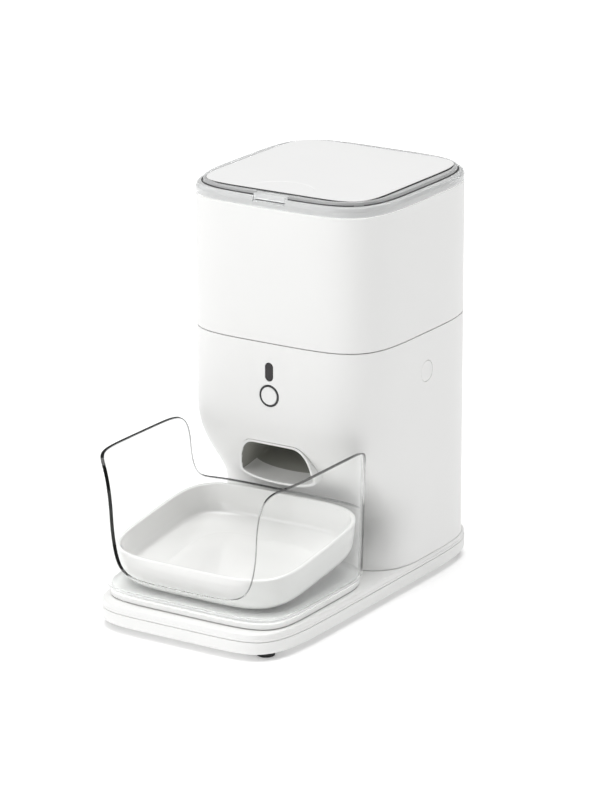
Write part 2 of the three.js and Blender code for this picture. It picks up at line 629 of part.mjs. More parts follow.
function buildLid() {
  const { bottom, step, rim, plateTop } = LID;
  const outside = stack(towerRing, [
    [bottom, 0.3], [346.5, 0], [349, 1.1], [step, 3.2], [step + 0.2, 5], [rim - 0.7, 5.4], [rim, 7],
  ]);
  const frontY = TOWER.y - TOWER.halfDepth;
  const roomTop = [LATCH.halfWidth, frontY + LATCH.depth, rim + 2];
  const latchRoom = box([-LATCH.halfWidth, frontY - 2, step - 4.6], roomTop);
  const frame = cut(
    join(outside, ...[-1, 1].map((side) => hingeLug(side, HINGE.lidFrom, HINGE.lidTo, false))),
    stack(towerRing, [[bottom - 1, 6], [348.2, 6.5]]),
    stack(plateRing, [[step + 0.6, -0.6], [rim + 2, -0.6]]),
    latchRoom,
    hingeBore(),
  );
  add("lid_frame", frame, CLEAR);
  add("lid_plate", stack(plateRing, [[step + 0.9, 0], [plateTop - 0.7, 0], [plateTop, 0.9]]), WHITE);
  const seal = cut(
    stack(towerRing, [[338, WALL + 0.5], [bottom - GAP, WALL + 0.7]]),
    stack(towerRing, [[337, 6], [342, 6]]),
  );
  add("lid_seal", seal, SILICONE);
  const tabHalf = LATCH.halfWidth - GAP;
  const tab = box([-tabHalf, frontY + 1.6, step - 2.6], [tabHalf, frontY + LATCH.depth - 0.4, rim - 0.4]);
  add("lid_latch", tab, CLEAR);
  const { radius, wall, vent } = DESICCANT;
  const centre = [0, TOWER.y];
  const tub = rod("z", DESICCANT.bottom, DESICCANT.top, centre, radius, 24);
  const hollow = rod("z", DESICCANT.bottom + wall, DESICCANT.top - wall, centre, radius - wall, 24);
  const ventHole = rod("z", DESICCANT.bottom - 1, DESICCANT.bottom + wall + 1, centre, vent, 16);
  add("desiccant_box", cut(tub, hollow, ventHole), WHITE);
}

buildBase();
buildPlatform();
buildGuard();
buildBowl();
buildBowlRest();
buildTower();
buildControls();
buildDispenser();
buildHopper();
buildLid();

// The lid's hinge stands out behind the base, so the middle of the whole is a little behind the base's.
feeder.position.y = -(HINGE.y + HINGE.eye - BASE.halfDepth) / 2;

export default feeder;
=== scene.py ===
"""Automatic pet feeder: a white tower with a lift-off hopper on a flat base, and a bowl in a clear guard.

Lengths are in metres, and MM turns the maker's millimetres into them. +Z is up and -Y is the front.
"""
import math

import bmesh
import bpy
import numpy as np
from mathutils import Matrix, Vector
from mathutils.kdtree import KDTree


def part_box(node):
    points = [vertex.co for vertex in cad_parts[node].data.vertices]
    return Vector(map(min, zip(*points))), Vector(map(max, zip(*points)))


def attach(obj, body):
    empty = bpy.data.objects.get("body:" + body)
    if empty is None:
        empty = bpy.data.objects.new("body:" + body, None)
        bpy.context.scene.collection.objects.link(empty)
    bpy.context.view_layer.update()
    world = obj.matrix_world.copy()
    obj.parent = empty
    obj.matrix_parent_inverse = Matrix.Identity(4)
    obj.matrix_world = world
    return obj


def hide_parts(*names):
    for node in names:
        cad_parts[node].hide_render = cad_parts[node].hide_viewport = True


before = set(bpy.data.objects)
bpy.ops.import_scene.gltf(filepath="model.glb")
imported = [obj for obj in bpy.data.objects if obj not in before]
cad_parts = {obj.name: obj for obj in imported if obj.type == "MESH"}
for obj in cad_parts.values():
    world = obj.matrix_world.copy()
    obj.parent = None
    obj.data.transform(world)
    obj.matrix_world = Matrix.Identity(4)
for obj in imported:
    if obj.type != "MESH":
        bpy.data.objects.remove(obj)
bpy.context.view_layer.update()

MM = 0.001
AROUND = 240  # points round a squared outline
SHARP = math.radians(35)


# ---- places and sizes, from the frame ----
def low_high(node):
    low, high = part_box(node)
    return np.array(low), np.array(high)


def middle(node):
    low, high = low_high(node)
    return (low + high) / 2


def half_size(node):
    low, high = low_high(node)
    return (high - low) / 2


TOWER_Y = middle("main_body_shell")[1]
TOWER_HALF = half_size("main_body_shell")[:2]
TOWER_POWER = 4.41
BASE_Y = middle("base_lower_shell")[1]
BASE_HALF = half_size("base_lower_shell")[:2]
BASE_POWER = 6.75
PLATE_HALF = half_size("lid_plate")[:2]
PLATE_POWER = 7.0
WALL = 2.6 * MM
GAP = 0.3 * MM
TOWER_FRONT = TOWER_Y - TOWER_HALF[1]
TOWER_BACK = TOWER_Y + TOWER_HALF[1]
FRONT_CUT = (TOWER_FRONT - 2 * MM, TOWER_FRONT + 5 * MM)
BACK_CUT = (TOWER_BACK - 20 * MM, TOWER_BACK + 5 * MM)
FEET = ("front_left", "front_right", "rear_left", "rear_right")
SCREWS = range(1, 5)

# The belly and neck, seen from the side: (height, distance in front of the tower's centre, corner power).
BELLY = [
    (24.3, 65, 3.5), (40, 54, 3.5), (55, 47, 3.5), (68, 44, 3.5), (79, 47.3, 3.5), (93, 60, 3.5),
    (106, 73.5, 3.6), (122, 86, 3.9), (137, 93.6, 4.2), (150, 96.8, 4.4), (163, 97.73, 4.41),
]
# The bowl's outline from under its foot to the middle of its floor: (inwards from the rim, height from the
# rim, radius of the corner).
BOWL_OUTSIDE = [
    (48, -36, 0), (43.5, -36, 1.2), (41, -33.5, 1.5), (24, -33.6, 8), (9.5, -32.6, 9), (3.8, -26.5, 14),
    (1.3, -12, 20), (0, -2, 0),
]
BOWL_INSIDE = [
    (3.4, -1.6, 0), (4.4, -6, 8), (6.3, -17, 10), (8.4, -24.2, 5), (31, -29.8, 2.5), (60, -30.2, 0),
]
BOWL_TILT = math.radians(7.9)
BOWL_HALF = np.array([87.0, 77.6]) * MM
BOWL_PLACE = (0, TOWER_Y - 150.4 * MM, 75.9 * MM)
BOWL_POWERS = ([0, 8, 20, 48], [4.7, 4.6, 4.3, 3.7])  # inwards from the rim, and the corner power there
GUARD_EDGE = {"front": (70.6, 46.5, 0.34), "rear": (85.3, 88.0, 0.6)}  # turn, low edge, steepness
GUARD_BEND = 0.58  # how sharply the guard's edge turns at the ends of its climb
GUARD_HALF = np.array([90.4, 80.9]) * MM
GUARD_FRONT = 81.5 * MM
GUARD_Y = TOWER_Y - 150.6 * MM
GUARD_POWER = 5.64
GUARD_FLARE = (0.033, 0.021)  # outwards for each unit of height, at the sides and at the front
GUARD_TOP = 147.0
GUARD_WALL = 2.4
GUARD_START = 12 * MM  # height over the guard's bottom where its plain wall begins
# The chute's sections: (distance behind the tower's centre, half width, bottom, top).
CHUTE = [
    (-99, 37, 97, 136), (-83.5, 37, 97, 136), (-44, 36, 108, 131), (-24, 34, 113.5, 129.5),
    (24, 31, 122, 128.8),
]
CHUTE_SIZE = (37, 136, 97)  # half width, top and bottom of the outlet
LIP = ((140, 94.8), (90, 81.7))  # the spout's lip: height, and distance in front of the tower's centre


# ---- outlines ----
def squared(half, power, y, z, front=None, front_power=None, angles=None):
    """Points round a squared outline. Its front half may reach a distance and have a power of its own."""
    if angles is None:
        angles = np.linspace(0, 2 * math.pi, AROUND, endpoint=False)
    c, s = np.cos(angles), np.sin(angles)
    is_front = s < -1e-9
    depth = np.where(is_front, half[1] if front is None else front, half[1])
    n = np.where(is_front, power if front_power is None else front_power, power)
    radius = (np.abs(c / half[0]) ** n + np.abs(s / depth) ** n) ** (-1 / n)
    return np.stack([radius * c, y + radius * s, np.full_like(c, z)], 1)


def curve_through(points, steps=8):
    """A smooth line through points of any dimension, with a few steps between each two."""
    p = np.array(points, float)
    p = np.vstack([2 * p[0] - p[1], p, 2 * p[-1] - p[-2]])
    knots = np.cumsum(np.r_[0, np.linalg.norm(np.diff(p, axis=0), axis=1) ** 0.5])
    line = []
    for i in range(1, len(p) - 2):
        t0, t1, t2, t3 = knots[i - 1 : i + 3]
        for t in np.linspace(t1, t2, steps, endpoint=False):
            a1 = (t1 - t) / (t1 - t0) * p[i - 1] + (t - t0) / (t1 - t0) * p[i]
            a2 = (t2 - t) / (t2 - t1) * p[i] + (t - t1) / (t2 - t1) * p[i + 1]
            a3 = (t3 - t) / (t3 - t2) * p[i + 1] + (t - t2) / (t3 - t2) * p[i + 2]
            b1 = (t2 - t) / (t2 - t0) * a1 + (t - t0) / (t2 - t0) * a2
            b2 = (t3 - t) / (t3 - t1) * a2 + (t - t1) / (t3 - t1) * a3
            line.append((t2 - t) / (t2 - t1) * b1 + (t - t1) / (t2 - t1) * b2)
    line.append(p[-2])
    return np.array(line)


def rounded(corners, closed=False, steps=5):
    """A profile through corners of (across, along, radius), each rounded by an arc of its radius."""
    points = []
    count = len(corners)
    for i, (x, y, radius) in enumerate(corners):
        here = np.array([x, y], float)
        if radius <= 0 or (not closed and i in (0, count - 1)):
            points.append(here)
            continue
        back = np.array(corners[i - 1][:2], float) - here
        ahead = np.array(corners[(i + 1) % count][:2], float) - here
        reach = 0.48 * min(np.linalg.norm(back), np.linalg.norm(ahead))
        back /= np.linalg.norm(back)
        ahead /= np.linalg.norm(ahead)
        half = math.acos(np.clip(back @ ahead, -1, 1)) / 2
        trim = min(radius / math.tan(half), reach)
        radius = trim * math.tan(half)
        centre = here + (back + ahead) / np.linalg.norm(back + ahead) * radius / math.sin(half)
        start, end = here + back * trim - centre, here + ahead * trim - centre
        turn = math.atan2(start[0] * end[1] - start[1] * end[0], start @ end)
        for t in np.linspace(0, turn, steps + 1):
            c, s = math.cos(t), math.sin(t)
            points.append(centre + [c * start[0] - s * start[1], s * start[0] + c * start[1]])
    return np.array(points)


# ---- meshes ----
def new_piece(name, mesh):
    piece = bpy.data.objects.new(name, mesh)
    bpy.context.scene.collection.objects.link(piece)
    return piece


def from_bmesh(name, bm):
    bmesh.ops.remove_doubles(bm, verts=bm.verts, dist=1e-7)
    bmesh.ops.recalc_face_normals(bm, faces=bm.faces)
    mesh = bpy.data.meshes.new(name)
    bm.to_mesh(mesh)
    bm.free()
    return new_piece(name, mesh)


def skin(name, rings, wrap=False):
    """A closed surface through rings of points. With wrap, the last ring joins the first."""
    rings = np.array(rings)
    rows, count = rings.shape[:2]
    bm = bmesh.new()
    grid = [[bm.verts.new(p) for p in ring] for ring in rings]
    for r in range(rows if wrap else rows - 1):
        a, b = grid[r], grid[(r + 1) % rows]
        for i in range(count):
            j = (i + 1) % count
            bm.faces.new((a[i], a[j], b[j], b[i]))
    if not wrap:
        for ring, place in ((grid[0], rings[0]), (grid[-1], rings[-1])):
            if np.ptp(place, axis=0).max() > 1e-6:
                bm.faces.new(ring)
    return from_bmesh(name, bm)


def lathe(name, axis, centre, profile, closed=False, around=64):
    """A turned piece. The profile is (distance from the axis line, place along it)."""
    angles = np.linspace(0, 2 * math.pi, around, endpoint=False)
    axes = {"x": (1, 2, 0), "y": (0, 2, 1), "z": (0, 1, 2)}[axis]
    rings = []
    for radius, along in profile:
        ring = np.zeros((around, 3))
        ring[:, axes[0]] = centre[0] + radius * np.cos(angles)
        ring[:, axes[1]] = centre[1] + radius * np.sin(angles)
        ring[:, axes[2]] = along
        rings.append(ring)
    return skin(name, rings, wrap=closed)


def turned_wall(name, axis, centre, corners, around=64):
    """A turned piece. Its closed profile has corners of (distance from the axis, place along it, radius)."""
    return lathe(name, axis, centre, rounded(corners, closed=True), closed=True, around=around)


def rod(name, axis, centre, start, end, radius, edge=0.3 * MM, around=48):
    """A plain turned bar with rounded ends."""
    corners = [(0, start, 0), (radius, start, edge), (radius, end, edge), (0, end, 0)]
    return lathe(name, axis, centre, rounded(corners, steps=3), around=around)


def block(name, low, high, edge=0.0):
    """A block between two corners, with its edges rounded."""
    bm = bmesh.new()
    bmesh.ops.create_cube(bm, size=1)
    low, high = np.array(low), np.array(high)
    for v in bm.verts:
        v.co = Vector((low + high) / 2 + np.array(v.co) * (high - low))
    if edge:
        bmesh.ops.bevel(bm, geom=bm.edges, offset=edge, segments=3, profile=0.5, affect="EDGES")
    return from_bmesh(name, bm)


def upright_ring(outline, y):
    """An outline of (x, z) points, stood up at y."""
    flat = np.array(outline)
    return np.stack([flat[:, 0], np.full(len(flat), y), flat[:, 1]], 1)


def extruded(name, outline, start, end):
    """A closed outline of (x, z) points, drawn out along Y."""
    return skin(name, [upright_ring(outline, y) for y in (start, end)])


def settle(piece):
    """Turns a piece and its modifiers into a plain mesh."""
    bpy.context.view_layer.update()
    graph = bpy.context.evaluated_depsgraph_get()
    mesh = bpy.data.meshes.new_from_object(piece.evaluated_get(graph), depsgraph=graph)
    piece.modifiers.clear()
    piece.data = mesh
    return piece


def combine(piece, tools, operation):
    for tool in tools:
        change = piece.modifiers.new("change", "BOOLEAN")
        change.operation = operation
        change.solver = "EXACT"
        change.object = tool
    settle(piece)
    for tool in tools:
        bpy.data.objects.remove(tool)
    return piece


def cut(piece, *tools):
    return combine(piece, tools, "DIFFERENCE")


def join(piece, *tools):
    return combine(piece, tools, "UNION")


def soften(piece, width, angle=40, steps=2):
    """Rounds the sharp edges of a piece."""
    edge = piece.modifiers.new("edge", "BEVEL")
    edge.width = width
    edge.segments = steps
    edge.limit_method = "ANGLE"
    edge.angle_limit = math.radians(angle)
    return settle(piece)


def finish_piece(piece, body, slot, material, *nodes):
    """Smooths a piece, gives it its finish, and puts it on its body in place of CAD nodes."""
    mesh = piece.data
    mesh.materials.clear()
    for m in material if isinstance(material, list) else [material]:
        mesh.materials.append(m)
    mesh.shade_smooth()
    mesh.set_sharp_from_angle(angle=SHARP)
    normals = piece.modifiers.new("normals", "WEIGHTED_NORMAL")
    normals.keep_sharp = True
    settle(piece)
    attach(piece, body)
    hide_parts(*nodes)


def refined(node, name, edge):
    """A copy of a CAD node's solid with its sharp edges rounded."""
    bm = bmesh.new()
    bm.from_mesh(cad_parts[node].data)
    bmesh.ops.remove_doubles(bm, verts=bm.verts, dist=1e-6)
    bmesh.ops.dissolve_limit(bm, angle_limit=math.radians(1), verts=bm.verts, edges=bm.edges)
    return soften(from_bmesh(name, bm), edge)


# ---- node trees ----
def feed(tree, node, inputs):
    """Links or sets a node's inputs by name or number."""
    for key, value in inputs.items():
        if isinstance(value, bpy.types.NodeSocket):
            tree.links.new(value, node.inputs[key])
        else:
            node.inputs[key].default_value = value


def add(tree, kind, inputs=None, **settings):
    """A node with its settings, and its inputs linked or set."""
    node = tree.nodes.new(kind)
    for key, value in settings.items():
        setattr(node, key, value)
    feed(tree, node, inputs or {})
    return node


def sum_node(tree, operation, *values):
    return add(tree, "ShaderNodeMath", dict(enumerate(values)), operation=operation).outputs[0]


def shape_tree(name, inputs):
    """An empty geometry tree with named inputs of (name, socket kind, value)."""
    tree = bpy.data.node_groups.new(name, "GeometryNodeTree")
    tree.interface.new_socket("Geometry", in_out="INPUT", socket_type="NodeSocketGeometry")
    for label, kind, value in inputs:
        item = tree.interface.new_socket(label, in_out="INPUT", socket_type="NodeSocket" + kind)
        if value is not None:
            item.default_value = value
    tree.interface.new_socket("Geometry", in_out="OUTPUT", socket_type="NodeSocketGeometry")
    return tree, tree.nodes.new("NodeGroupInput").outputs


def end_tree(tree, geometry, material):
    real = add(tree, "GeometryNodeRealizeInstances", {0: geometry})
    painted = add(tree, "GeometryNodeSetMaterial", {0: real.outputs[0], "Material": material})
    add(tree, "NodeGroupOutput", {0: painted.outputs[0]})


def grow(piece, tree, **values):
    """Runs a geometry tree on a piece, with its named inputs set, and keeps the plain result."""
    run = piece.modifiers.new(tree.name, "NODES")
    run.node_group = tree
    for item in tree.interface.items_tree:
        if item.in_out == "INPUT" and item.name.replace(" ", "_").lower() in values:
            run[item.identifier] = values[item.name.replace(" ", "_").lower()]
    return settle(piece)


def squared_shell_tree():
    """Sweeps a closed profile of (inset, height) points round a squared outline."""
    tree, given = shape_tree("squared_shell", [
        ("Half Width", "Float", 0.1), ("Half Depth", "Float", 0.1), ("Power", "Float", 4.0),
        ("Centre Y", "Float", 0.0), ("Around", "Int", AROUND), ("Material", "Material", None),
    ])
    size = add(tree, "GeometryNodeAttributeDomainSize", {0: given["Geometry"]})
    rows = size.outputs["Point Count"]
    around = given["Around"]
    grid = add(tree, "GeometryNodeMeshGrid", {
        "Size X": rows, "Size Y": around,
        "Vertices X": sum_node(tree, "ADD", rows, 1.0), "Vertices Y": sum_node(tree, "ADD", around, 1.0),
    })
    place = add(tree, "ShaderNodeSeparateXYZ", {0: add(tree, "GeometryNodeInputPosition").outputs[0]})
    row = sum_node(tree, "ROUND", sum_node(tree, "MULTIPLY_ADD", rows, 0.5, place.outputs[0]))
    column = sum_node(tree, "MULTIPLY_ADD", around, 0.5, place.outputs[1])
    sample = add(tree, "GeometryNodeSampleIndex", {
        0: given["Geometry"], 1: add(tree, "GeometryNodeInputPosition").outputs[0],
        2: sum_node(tree, "MODULO", row, rows),
    }, data_type="FLOAT_VECTOR")
    profile = add(tree, "ShaderNodeSeparateXYZ", {0: sample.outputs[0]})
    angle = sum_node(tree, "DIVIDE", sum_node(tree, "MULTIPLY", column, 2 * math.pi), around)
    cosine, sine = sum_node(tree, "COSINE", angle), sum_node(tree, "SINE", angle)
    shares = []
    for half, part in ((given["Half Width"], cosine), (given["Half Depth"], sine)):
        share = sum_node(tree, "DIVIDE", part, sum_node(tree, "SUBTRACT", half, profile.outputs[0]))
        shares.append(sum_node(tree, "POWER", sum_node(tree, "ABSOLUTE", share), given["Power"]))
    power = sum_node(tree, "DIVIDE", -1.0, given["Power"])
    radius = sum_node(tree, "POWER", sum_node(tree, "ADD", *shares), power)
    spot = add(tree, "ShaderNodeCombineXYZ", {
        0: sum_node(tree, "MULTIPLY", radius, cosine),
        1: sum_node(tree, "MULTIPLY_ADD", radius, sine, given["Centre Y"]),
        2: profile.outputs[2],
    })
    moved = add(tree, "GeometryNodeSetPosition", {0: grid.outputs[0], "Position": spot.outputs[0]})
    closed = add(tree, "GeometryNodeMergeByDistance", {0: moved.outputs[0], "Distance": 1e-7})
    end_tree(tree, closed.outputs[0], given["Material"])
    return tree


def placed_copies_tree():
    """Puts a copy of an object on every point, each turned about its own axis by a seeded amount."""
    tree, given = shape_tree("placed_copies", [
        ("Copy", "Object", None), ("Tilt", "Vector", (0, 0, 0)), ("Most Turn", "Float", math.pi),
        ("Seed", "Int", 7), ("Material", "Material", None),
    ])
    source = add(tree, "GeometryNodeObjectInfo", {"Object": given["Copy"]})
    limits = {"Min": 0.0, "Max": given["Most Turn"], "Seed": given["Seed"]}
    turn = add(tree, "FunctionNodeRandomValue", limits)
    spin = add(tree, "ShaderNodeCombineXYZ", {2: turn.outputs[1]})
    facing = add(tree, "FunctionNodeRotateEuler", {0: spin.outputs[0], 1: given["Tilt"]})
    points = add(tree, "GeometryNodeInstanceOnPoints", {
        "Points": given["Geometry"], "Instance": source.outputs["Geometry"], "Rotation": facing.outputs[0],
    })
    end_tree(tree, points.outputs[0], given["Material"])
    return tree


def slotted_tree():
    """Cuts a row of upright slots with round ends through a panel."""
    tree, given = shape_tree("slotted_panel", [
        ("Slots", "Int", 9), ("Pitch", "Float", 6 * MM), ("Slot Width", "Float", 3 * MM),
        ("Slot Height", "Float", 30 * MM), ("Middle", "Vector", (0, 0, 0)), ("Material", "Material", None),
    ])
    run = sum_node(tree, "MULTIPLY", sum_node(tree, "SUBTRACT", given["Slots"], 1.0), given["Pitch"])
    half_run = sum_node(tree, "MULTIPLY", run, 0.5)
    ends = []
    for side in (-1.0, 1.0):
        ends.append(add(tree, "ShaderNodeCombineXYZ", {0: sum_node(tree, "MULTIPLY", half_run, side)}))
    row = add(tree, "GeometryNodeMeshLine", {
        "Count": given["Slots"], "Start Location": ends[0].outputs[0], "Offset": ends[1].outputs[0],
    }, mode="END_POINTS")
    radius = sum_node(tree, "MULTIPLY", given["Slot Width"], 0.49)
    outline = add(tree, "GeometryNodeCurvePrimitiveQuadrilateral", {
        "Width": given["Slot Width"], "Height": given["Slot Height"],
    })
    soft = add(tree, "GeometryNodeFilletCurve", {
        0: outline.outputs[0], "Count": 8, "Radius": radius,
    }, mode="POLY")
    path = add(tree, "GeometryNodeCurvePrimitiveLine", {"Start": (0, -12 * MM, 0), "End": (0, 12 * MM, 0)})
    bar = add(tree, "GeometryNodeCurveToMesh", {
        0: path.outputs[0], "Profile Curve": soft.outputs[0], "Fill Caps": True,
    })
    copies = add(tree, "GeometryNodeInstanceOnPoints", {"Points": row.outputs[0], "Instance": bar.outputs[0]})
    placed = add(tree, "GeometryNodeTransform", {0: copies.outputs[0], "Translation": given["Middle"]})
    real = add(tree, "GeometryNodeRealizeInstances", {0: placed.outputs[0]})
    holes = add(tree, "GeometryNodeMeshBoolean", {"Mesh 1": given["Geometry"], "Mesh 2": real.outputs[0]})
    end_tree(tree, holes.outputs[0], given["Material"])
    return tree


# ---- finishes ----
def empty_material(name):
    material = bpy.data.materials.new(name)
    material.use_nodes = True
    tree = material.node_tree
    shader = tree.nodes["Principled BSDF"]
    place = add(tree, "ShaderNodeTexCoord").outputs["Object"]
    return material, tree, shader, place


def noise(tree, place, scale, detail=2.0, stretch=None):
    if stretch:
        place = add(tree, "ShaderNodeMapping", {0: place, "Scale": stretch}).outputs[0]
    return add(tree, "ShaderNodeTexNoise", {"Vector": place, "Scale": scale, "Detail": detail}).outputs[0]


def between(tree, share, low, high):
    """A value or colour that goes from low to high with share."""
    if isinstance(low, (int, float)):
        return add(tree, "ShaderNodeMapRange", {0: share, 3: low, 4: high}).outputs[0]
    mix = add(tree, "ShaderNodeMix", {0: share, 6: (*low, 1), 7: (*high, 1)}, data_type="RGBA")
    return mix.outputs[2]


def raised(tree, shader, *layers):
    """Bumps of (pattern, depth), one on the other."""
    normal = None
    for height, depth in layers:
        bump = add(tree, "ShaderNodeBump", {"Height": height, "Distance": depth, "Strength": 1.0})
        if normal:
            tree.links.new(normal, bump.inputs["Normal"])
        normal = bump.outputs[0]
    tree.links.new(normal, shader.inputs["Normal"])


def moulded_plastic(name, colour, roughness=0.36):
    """Satin moulded plastic: a fine spark-eroded grain, slow sink marks and a faint drift of tone."""
    material, tree, shader, place = empty_material(name)
    slow = noise(tree, place, 14.0)
    fine = noise(tree, place, 1600.0, 3.0)
    feed(tree, shader, {
        "Base Color": between(tree, slow, tuple(0.97 * c for c in colour), colour),
        "Roughness": between(tree, fine, roughness - 0.05, roughness + 0.05), "IOR": 1.5,
    })
    raised(tree, shader, (slow, 0.1 * MM), (fine, 0.012 * MM))
    return material


def glazed_ceramic(name):
    """White glaze: a slow orange peel, small pinholes and a hard clear coat."""
    material, tree, shader, place = empty_material(name)
    peel = noise(tree, place, 60.0, 1.0)
    tone = noise(tree, place, 9.0)
    pits = add(tree, "ShaderNodeTexVoronoi", {"Vector": place, "Scale": 190.0}).outputs["Distance"]
    dip = add(tree, "ShaderNodeMapRange", {0: pits, 1: 0.0, 2: 0.05, 3: 0.0, 4: 1.0}).outputs[0]
    feed(tree, shader, {
        "Base Color": between(tree, tone, (0.83, 0.83, 0.815), (0.87, 0.87, 0.86)),
        "Roughness": between(tree, peel, 0.14, 0.2), "Coat Weight": 0.7, "Coat Roughness": 0.05,
    })
    raised(tree, shader, (peel, 0.05 * MM), (dip, 0.01 * MM))
    return material


def clear_plastic(name, tint, roughness=0.03, haze=0.0, lit=0.92, edge=None):
    """Clear moulded plastic that light passes, with faint flow waves and fine wiping scratches.

    With edge, it goes to that colour within a millimetre or so of the piece's cut edge: painted shade along
    the edge.
    """
    material, tree, shader, place = empty_material(name)
    waves = noise(tree, place, 18.0)
    scratches = noise(tree, place, 260.0, 4.0, (1.0, 1.0, 0.06))
    feed(tree, shader, {
        "Base Color": (*tint, 1), "Roughness": between(tree, scratches, roughness, roughness + 0.04),
        "Transmission Weight": 1.0 - haze, "IOR": 1.47,
    })
    raised(tree, shader, (waves, 0.04 * MM))
    # Painted shade: the base colour darkens near the cut edge.
    if edge:
        distance = add(tree, "ShaderNodeAttribute", attribute_name="from_edge").outputs["Fac"]
        reach = {0: distance, 1: 1.3, 2: 2.0}
        share = add(tree, "ShaderNodeMapRange", reach, interpolation_type="SMOOTHSTEP").outputs[0]
        feed(tree, shader, {"Base Color": between(tree, share, edge, tint)})
    through = add(tree, "ShaderNodeBsdfTransparent", {0: (*(lit * t for t in tint), 1)})
    light = add(tree, "ShaderNodeLightPath").outputs["Is Shadow Ray"]
    mix = add(tree, "ShaderNodeMixShader", {0: light, 1: shader.outputs[0], 2: through.outputs[0]})
    tree.links.new(mix.outputs[0], tree.nodes["Material Output"].inputs["Surface"])
    return material


def machined_metal(name, colour, roughness=0.3, along=(1.0, 40.0, 40.0)):
    """Metal with fine tool lines along one axis."""
    material, tree, shader, place = empty_material(name)
    lines = noise(tree, place, 60.0, 4.0, along)
    stain = noise(tree, place, 45.0)
    feed(tree, shader, {
        "Base Color": between(tree, stain, tuple(0.88 * c for c in colour), colour),
        "Roughness": between(tree, lines, roughness - 0.08, roughness + 0.1),
        "Metallic": 1.0, "Anisotropic": 0.4,
    })
    raised(tree, shader, (lines, 0.01 * MM))
    return material


def soft_rubber(name, colour, roughness=0.75):
    """Matt rubber or silicone with a leathery skin and a little dust."""
    material, tree, shader, place = empty_material(name)
    skin_noise = noise(tree, place, 700.0, 4.0)
    dust = noise(tree, place, 90.0, 5.0)
    lighter = tuple(min(1.0, c * 1.15 + 0.01) for c in colour)
    feed(tree, shader, {
        "Base Color": between(tree, dust, colour, lighter),
        "Roughness": between(tree, dust, roughness - 0.08, roughness + 0.08),
    })
    raised(tree, shader, (skin_noise, 0.02 * MM))
    return material


def gloss_window(name):
    """Black window plastic, polished, with the faint red of an infrared filter."""
    material, tree, shader, place = empty_material(name)
    depth = noise(tree, place, 120.0)
    tone = between(tree, depth, (0.004, 0.003, 0.004), (0.012, 0.006, 0.007))
    feed(tree, shader, {"Base Color": tone, "Roughness": 0.12, "Coat Weight": 0.1})
    raised(tree, shader, (depth, 0.01 * MM))
    return material


def circuit_board(name):
    """Green solder mask over copper tracks that stand a little proud."""
    material, tree, shader, place = empty_material(name)
    flat = add(tree, "ShaderNodeMapping", {0: place, "Rotation": (math.pi / 2, 0, 0)}).outputs[0]
    tracks = add(tree, "ShaderNodeTexBrick", {
        "Vector": flat, "Scale": 160.0, "Mortar Size": 0.035, "Color1": (0, 0, 0, 1), "Color2": (0, 0, 0, 1),
        "Mortar": (1, 1, 1, 1),
    }, offset=0.35).outputs["Color"]
    tone = between(tree, tracks, (0.012, 0.09, 0.03), (0.03, 0.19, 0.07))
    feed(tree, shader, {"Base Color": tone, "Roughness": 0.32})
    raised(tree, shader, (tracks, 0.03 * MM))
    return material


WHITE = moulded_plastic("white_moulding", (0.86, 0.86, 0.85))
# A lighter copy of the white moulding for the lid's top plate: the extra lightness is painted light on the
# top.
PLATE_PAINTED_LIGHT = moulded_plastic("plate_moulding", (0.94, 0.94, 0.935), 0.3)
INNER_WHITE = moulded_plastic("inner_moulding", (0.80, 0.80, 0.78), 0.45)
# A grey that paints the shade inside the outlet's chute.
CHUTE_PAINTED_SHADE = moulded_plastic("chute_moulding", (0.38, 0.38, 0.35), 0.4)
DARK_RING = moulded_plastic("ring_moulding", (0.016, 0.016, 0.018), 0.3)
SOCKET_BLACK = moulded_plastic("socket_moulding", (0.012, 0.012, 0.012), 0.45)
NYLON = moulded_plastic("gear_nylon", (0.72, 0.69, 0.57), 0.45)
GLAZE = glazed_ceramic("bowl_glaze")
# The guard's near-black edge colour is painted shade along its cut edges.
CLEAR = clear_plastic("guard_clear", (0.975, 0.98, 0.975), edge=(0.06, 0.062, 0.062))
GUARD_FOOT = clear_plastic("guard_foot_clear", (0.96, 0.965, 0.96), 0.3, haze=0.6)
LID_CLEAR = clear_plastic("lid_clear", (0.9, 0.905, 0.905), 0.12, haze=0.45, lit=0.85)
# Near-black painted shadow for the lid's narrow gaps.
LID_GAP_SHADOW = moulded_plastic("lid_shadow_line", (0.05, 0.05, 0.05), 0.5)
RUBBER = soft_rubber("foot_rubber", (0.012, 0.012, 0.012))
# The rotor's silicone colour, made dark grey so that it also paints the shade inside the outlet.
SILICONE_AND_SHADE = soft_rubber("rotor_silicone", (0.12, 0.12, 0.11), 0.6)
SEAL = soft_rubber("seal_silicone", (0.6, 0.61, 0.6), 0.5)
WINDOW = gloss_window("window_gloss")
BRASS = machined_metal("turned_brass", (0.72, 0.5, 0.2))
STEEL = machined_metal("plain_steel", (0.55, 0.56, 0.58))
ZINC = machined_metal("screw_zinc", (0.5, 0.51, 0.53), 0.34, (40.0, 40.0, 1.0))
ALUMINIUM = machined_metal("cell_aluminium", (0.72, 0.73, 0.75), 0.28)
BOARD = circuit_board("solder_mask")

SQUARED_SHELL = squared_shell_tree()
PLACED_COPIES = placed_copies_tree()
SLOTTED = slotted_tree()


# ---- base ----
def base_ring(inset, z):
    return squared(BASE_HALF - inset, BASE_POWER, BASE_Y, z)


def base_shell(name, corners):
    return skin(name, [base_ring(i * MM, z * MM) for i, z in rounded(corners)])


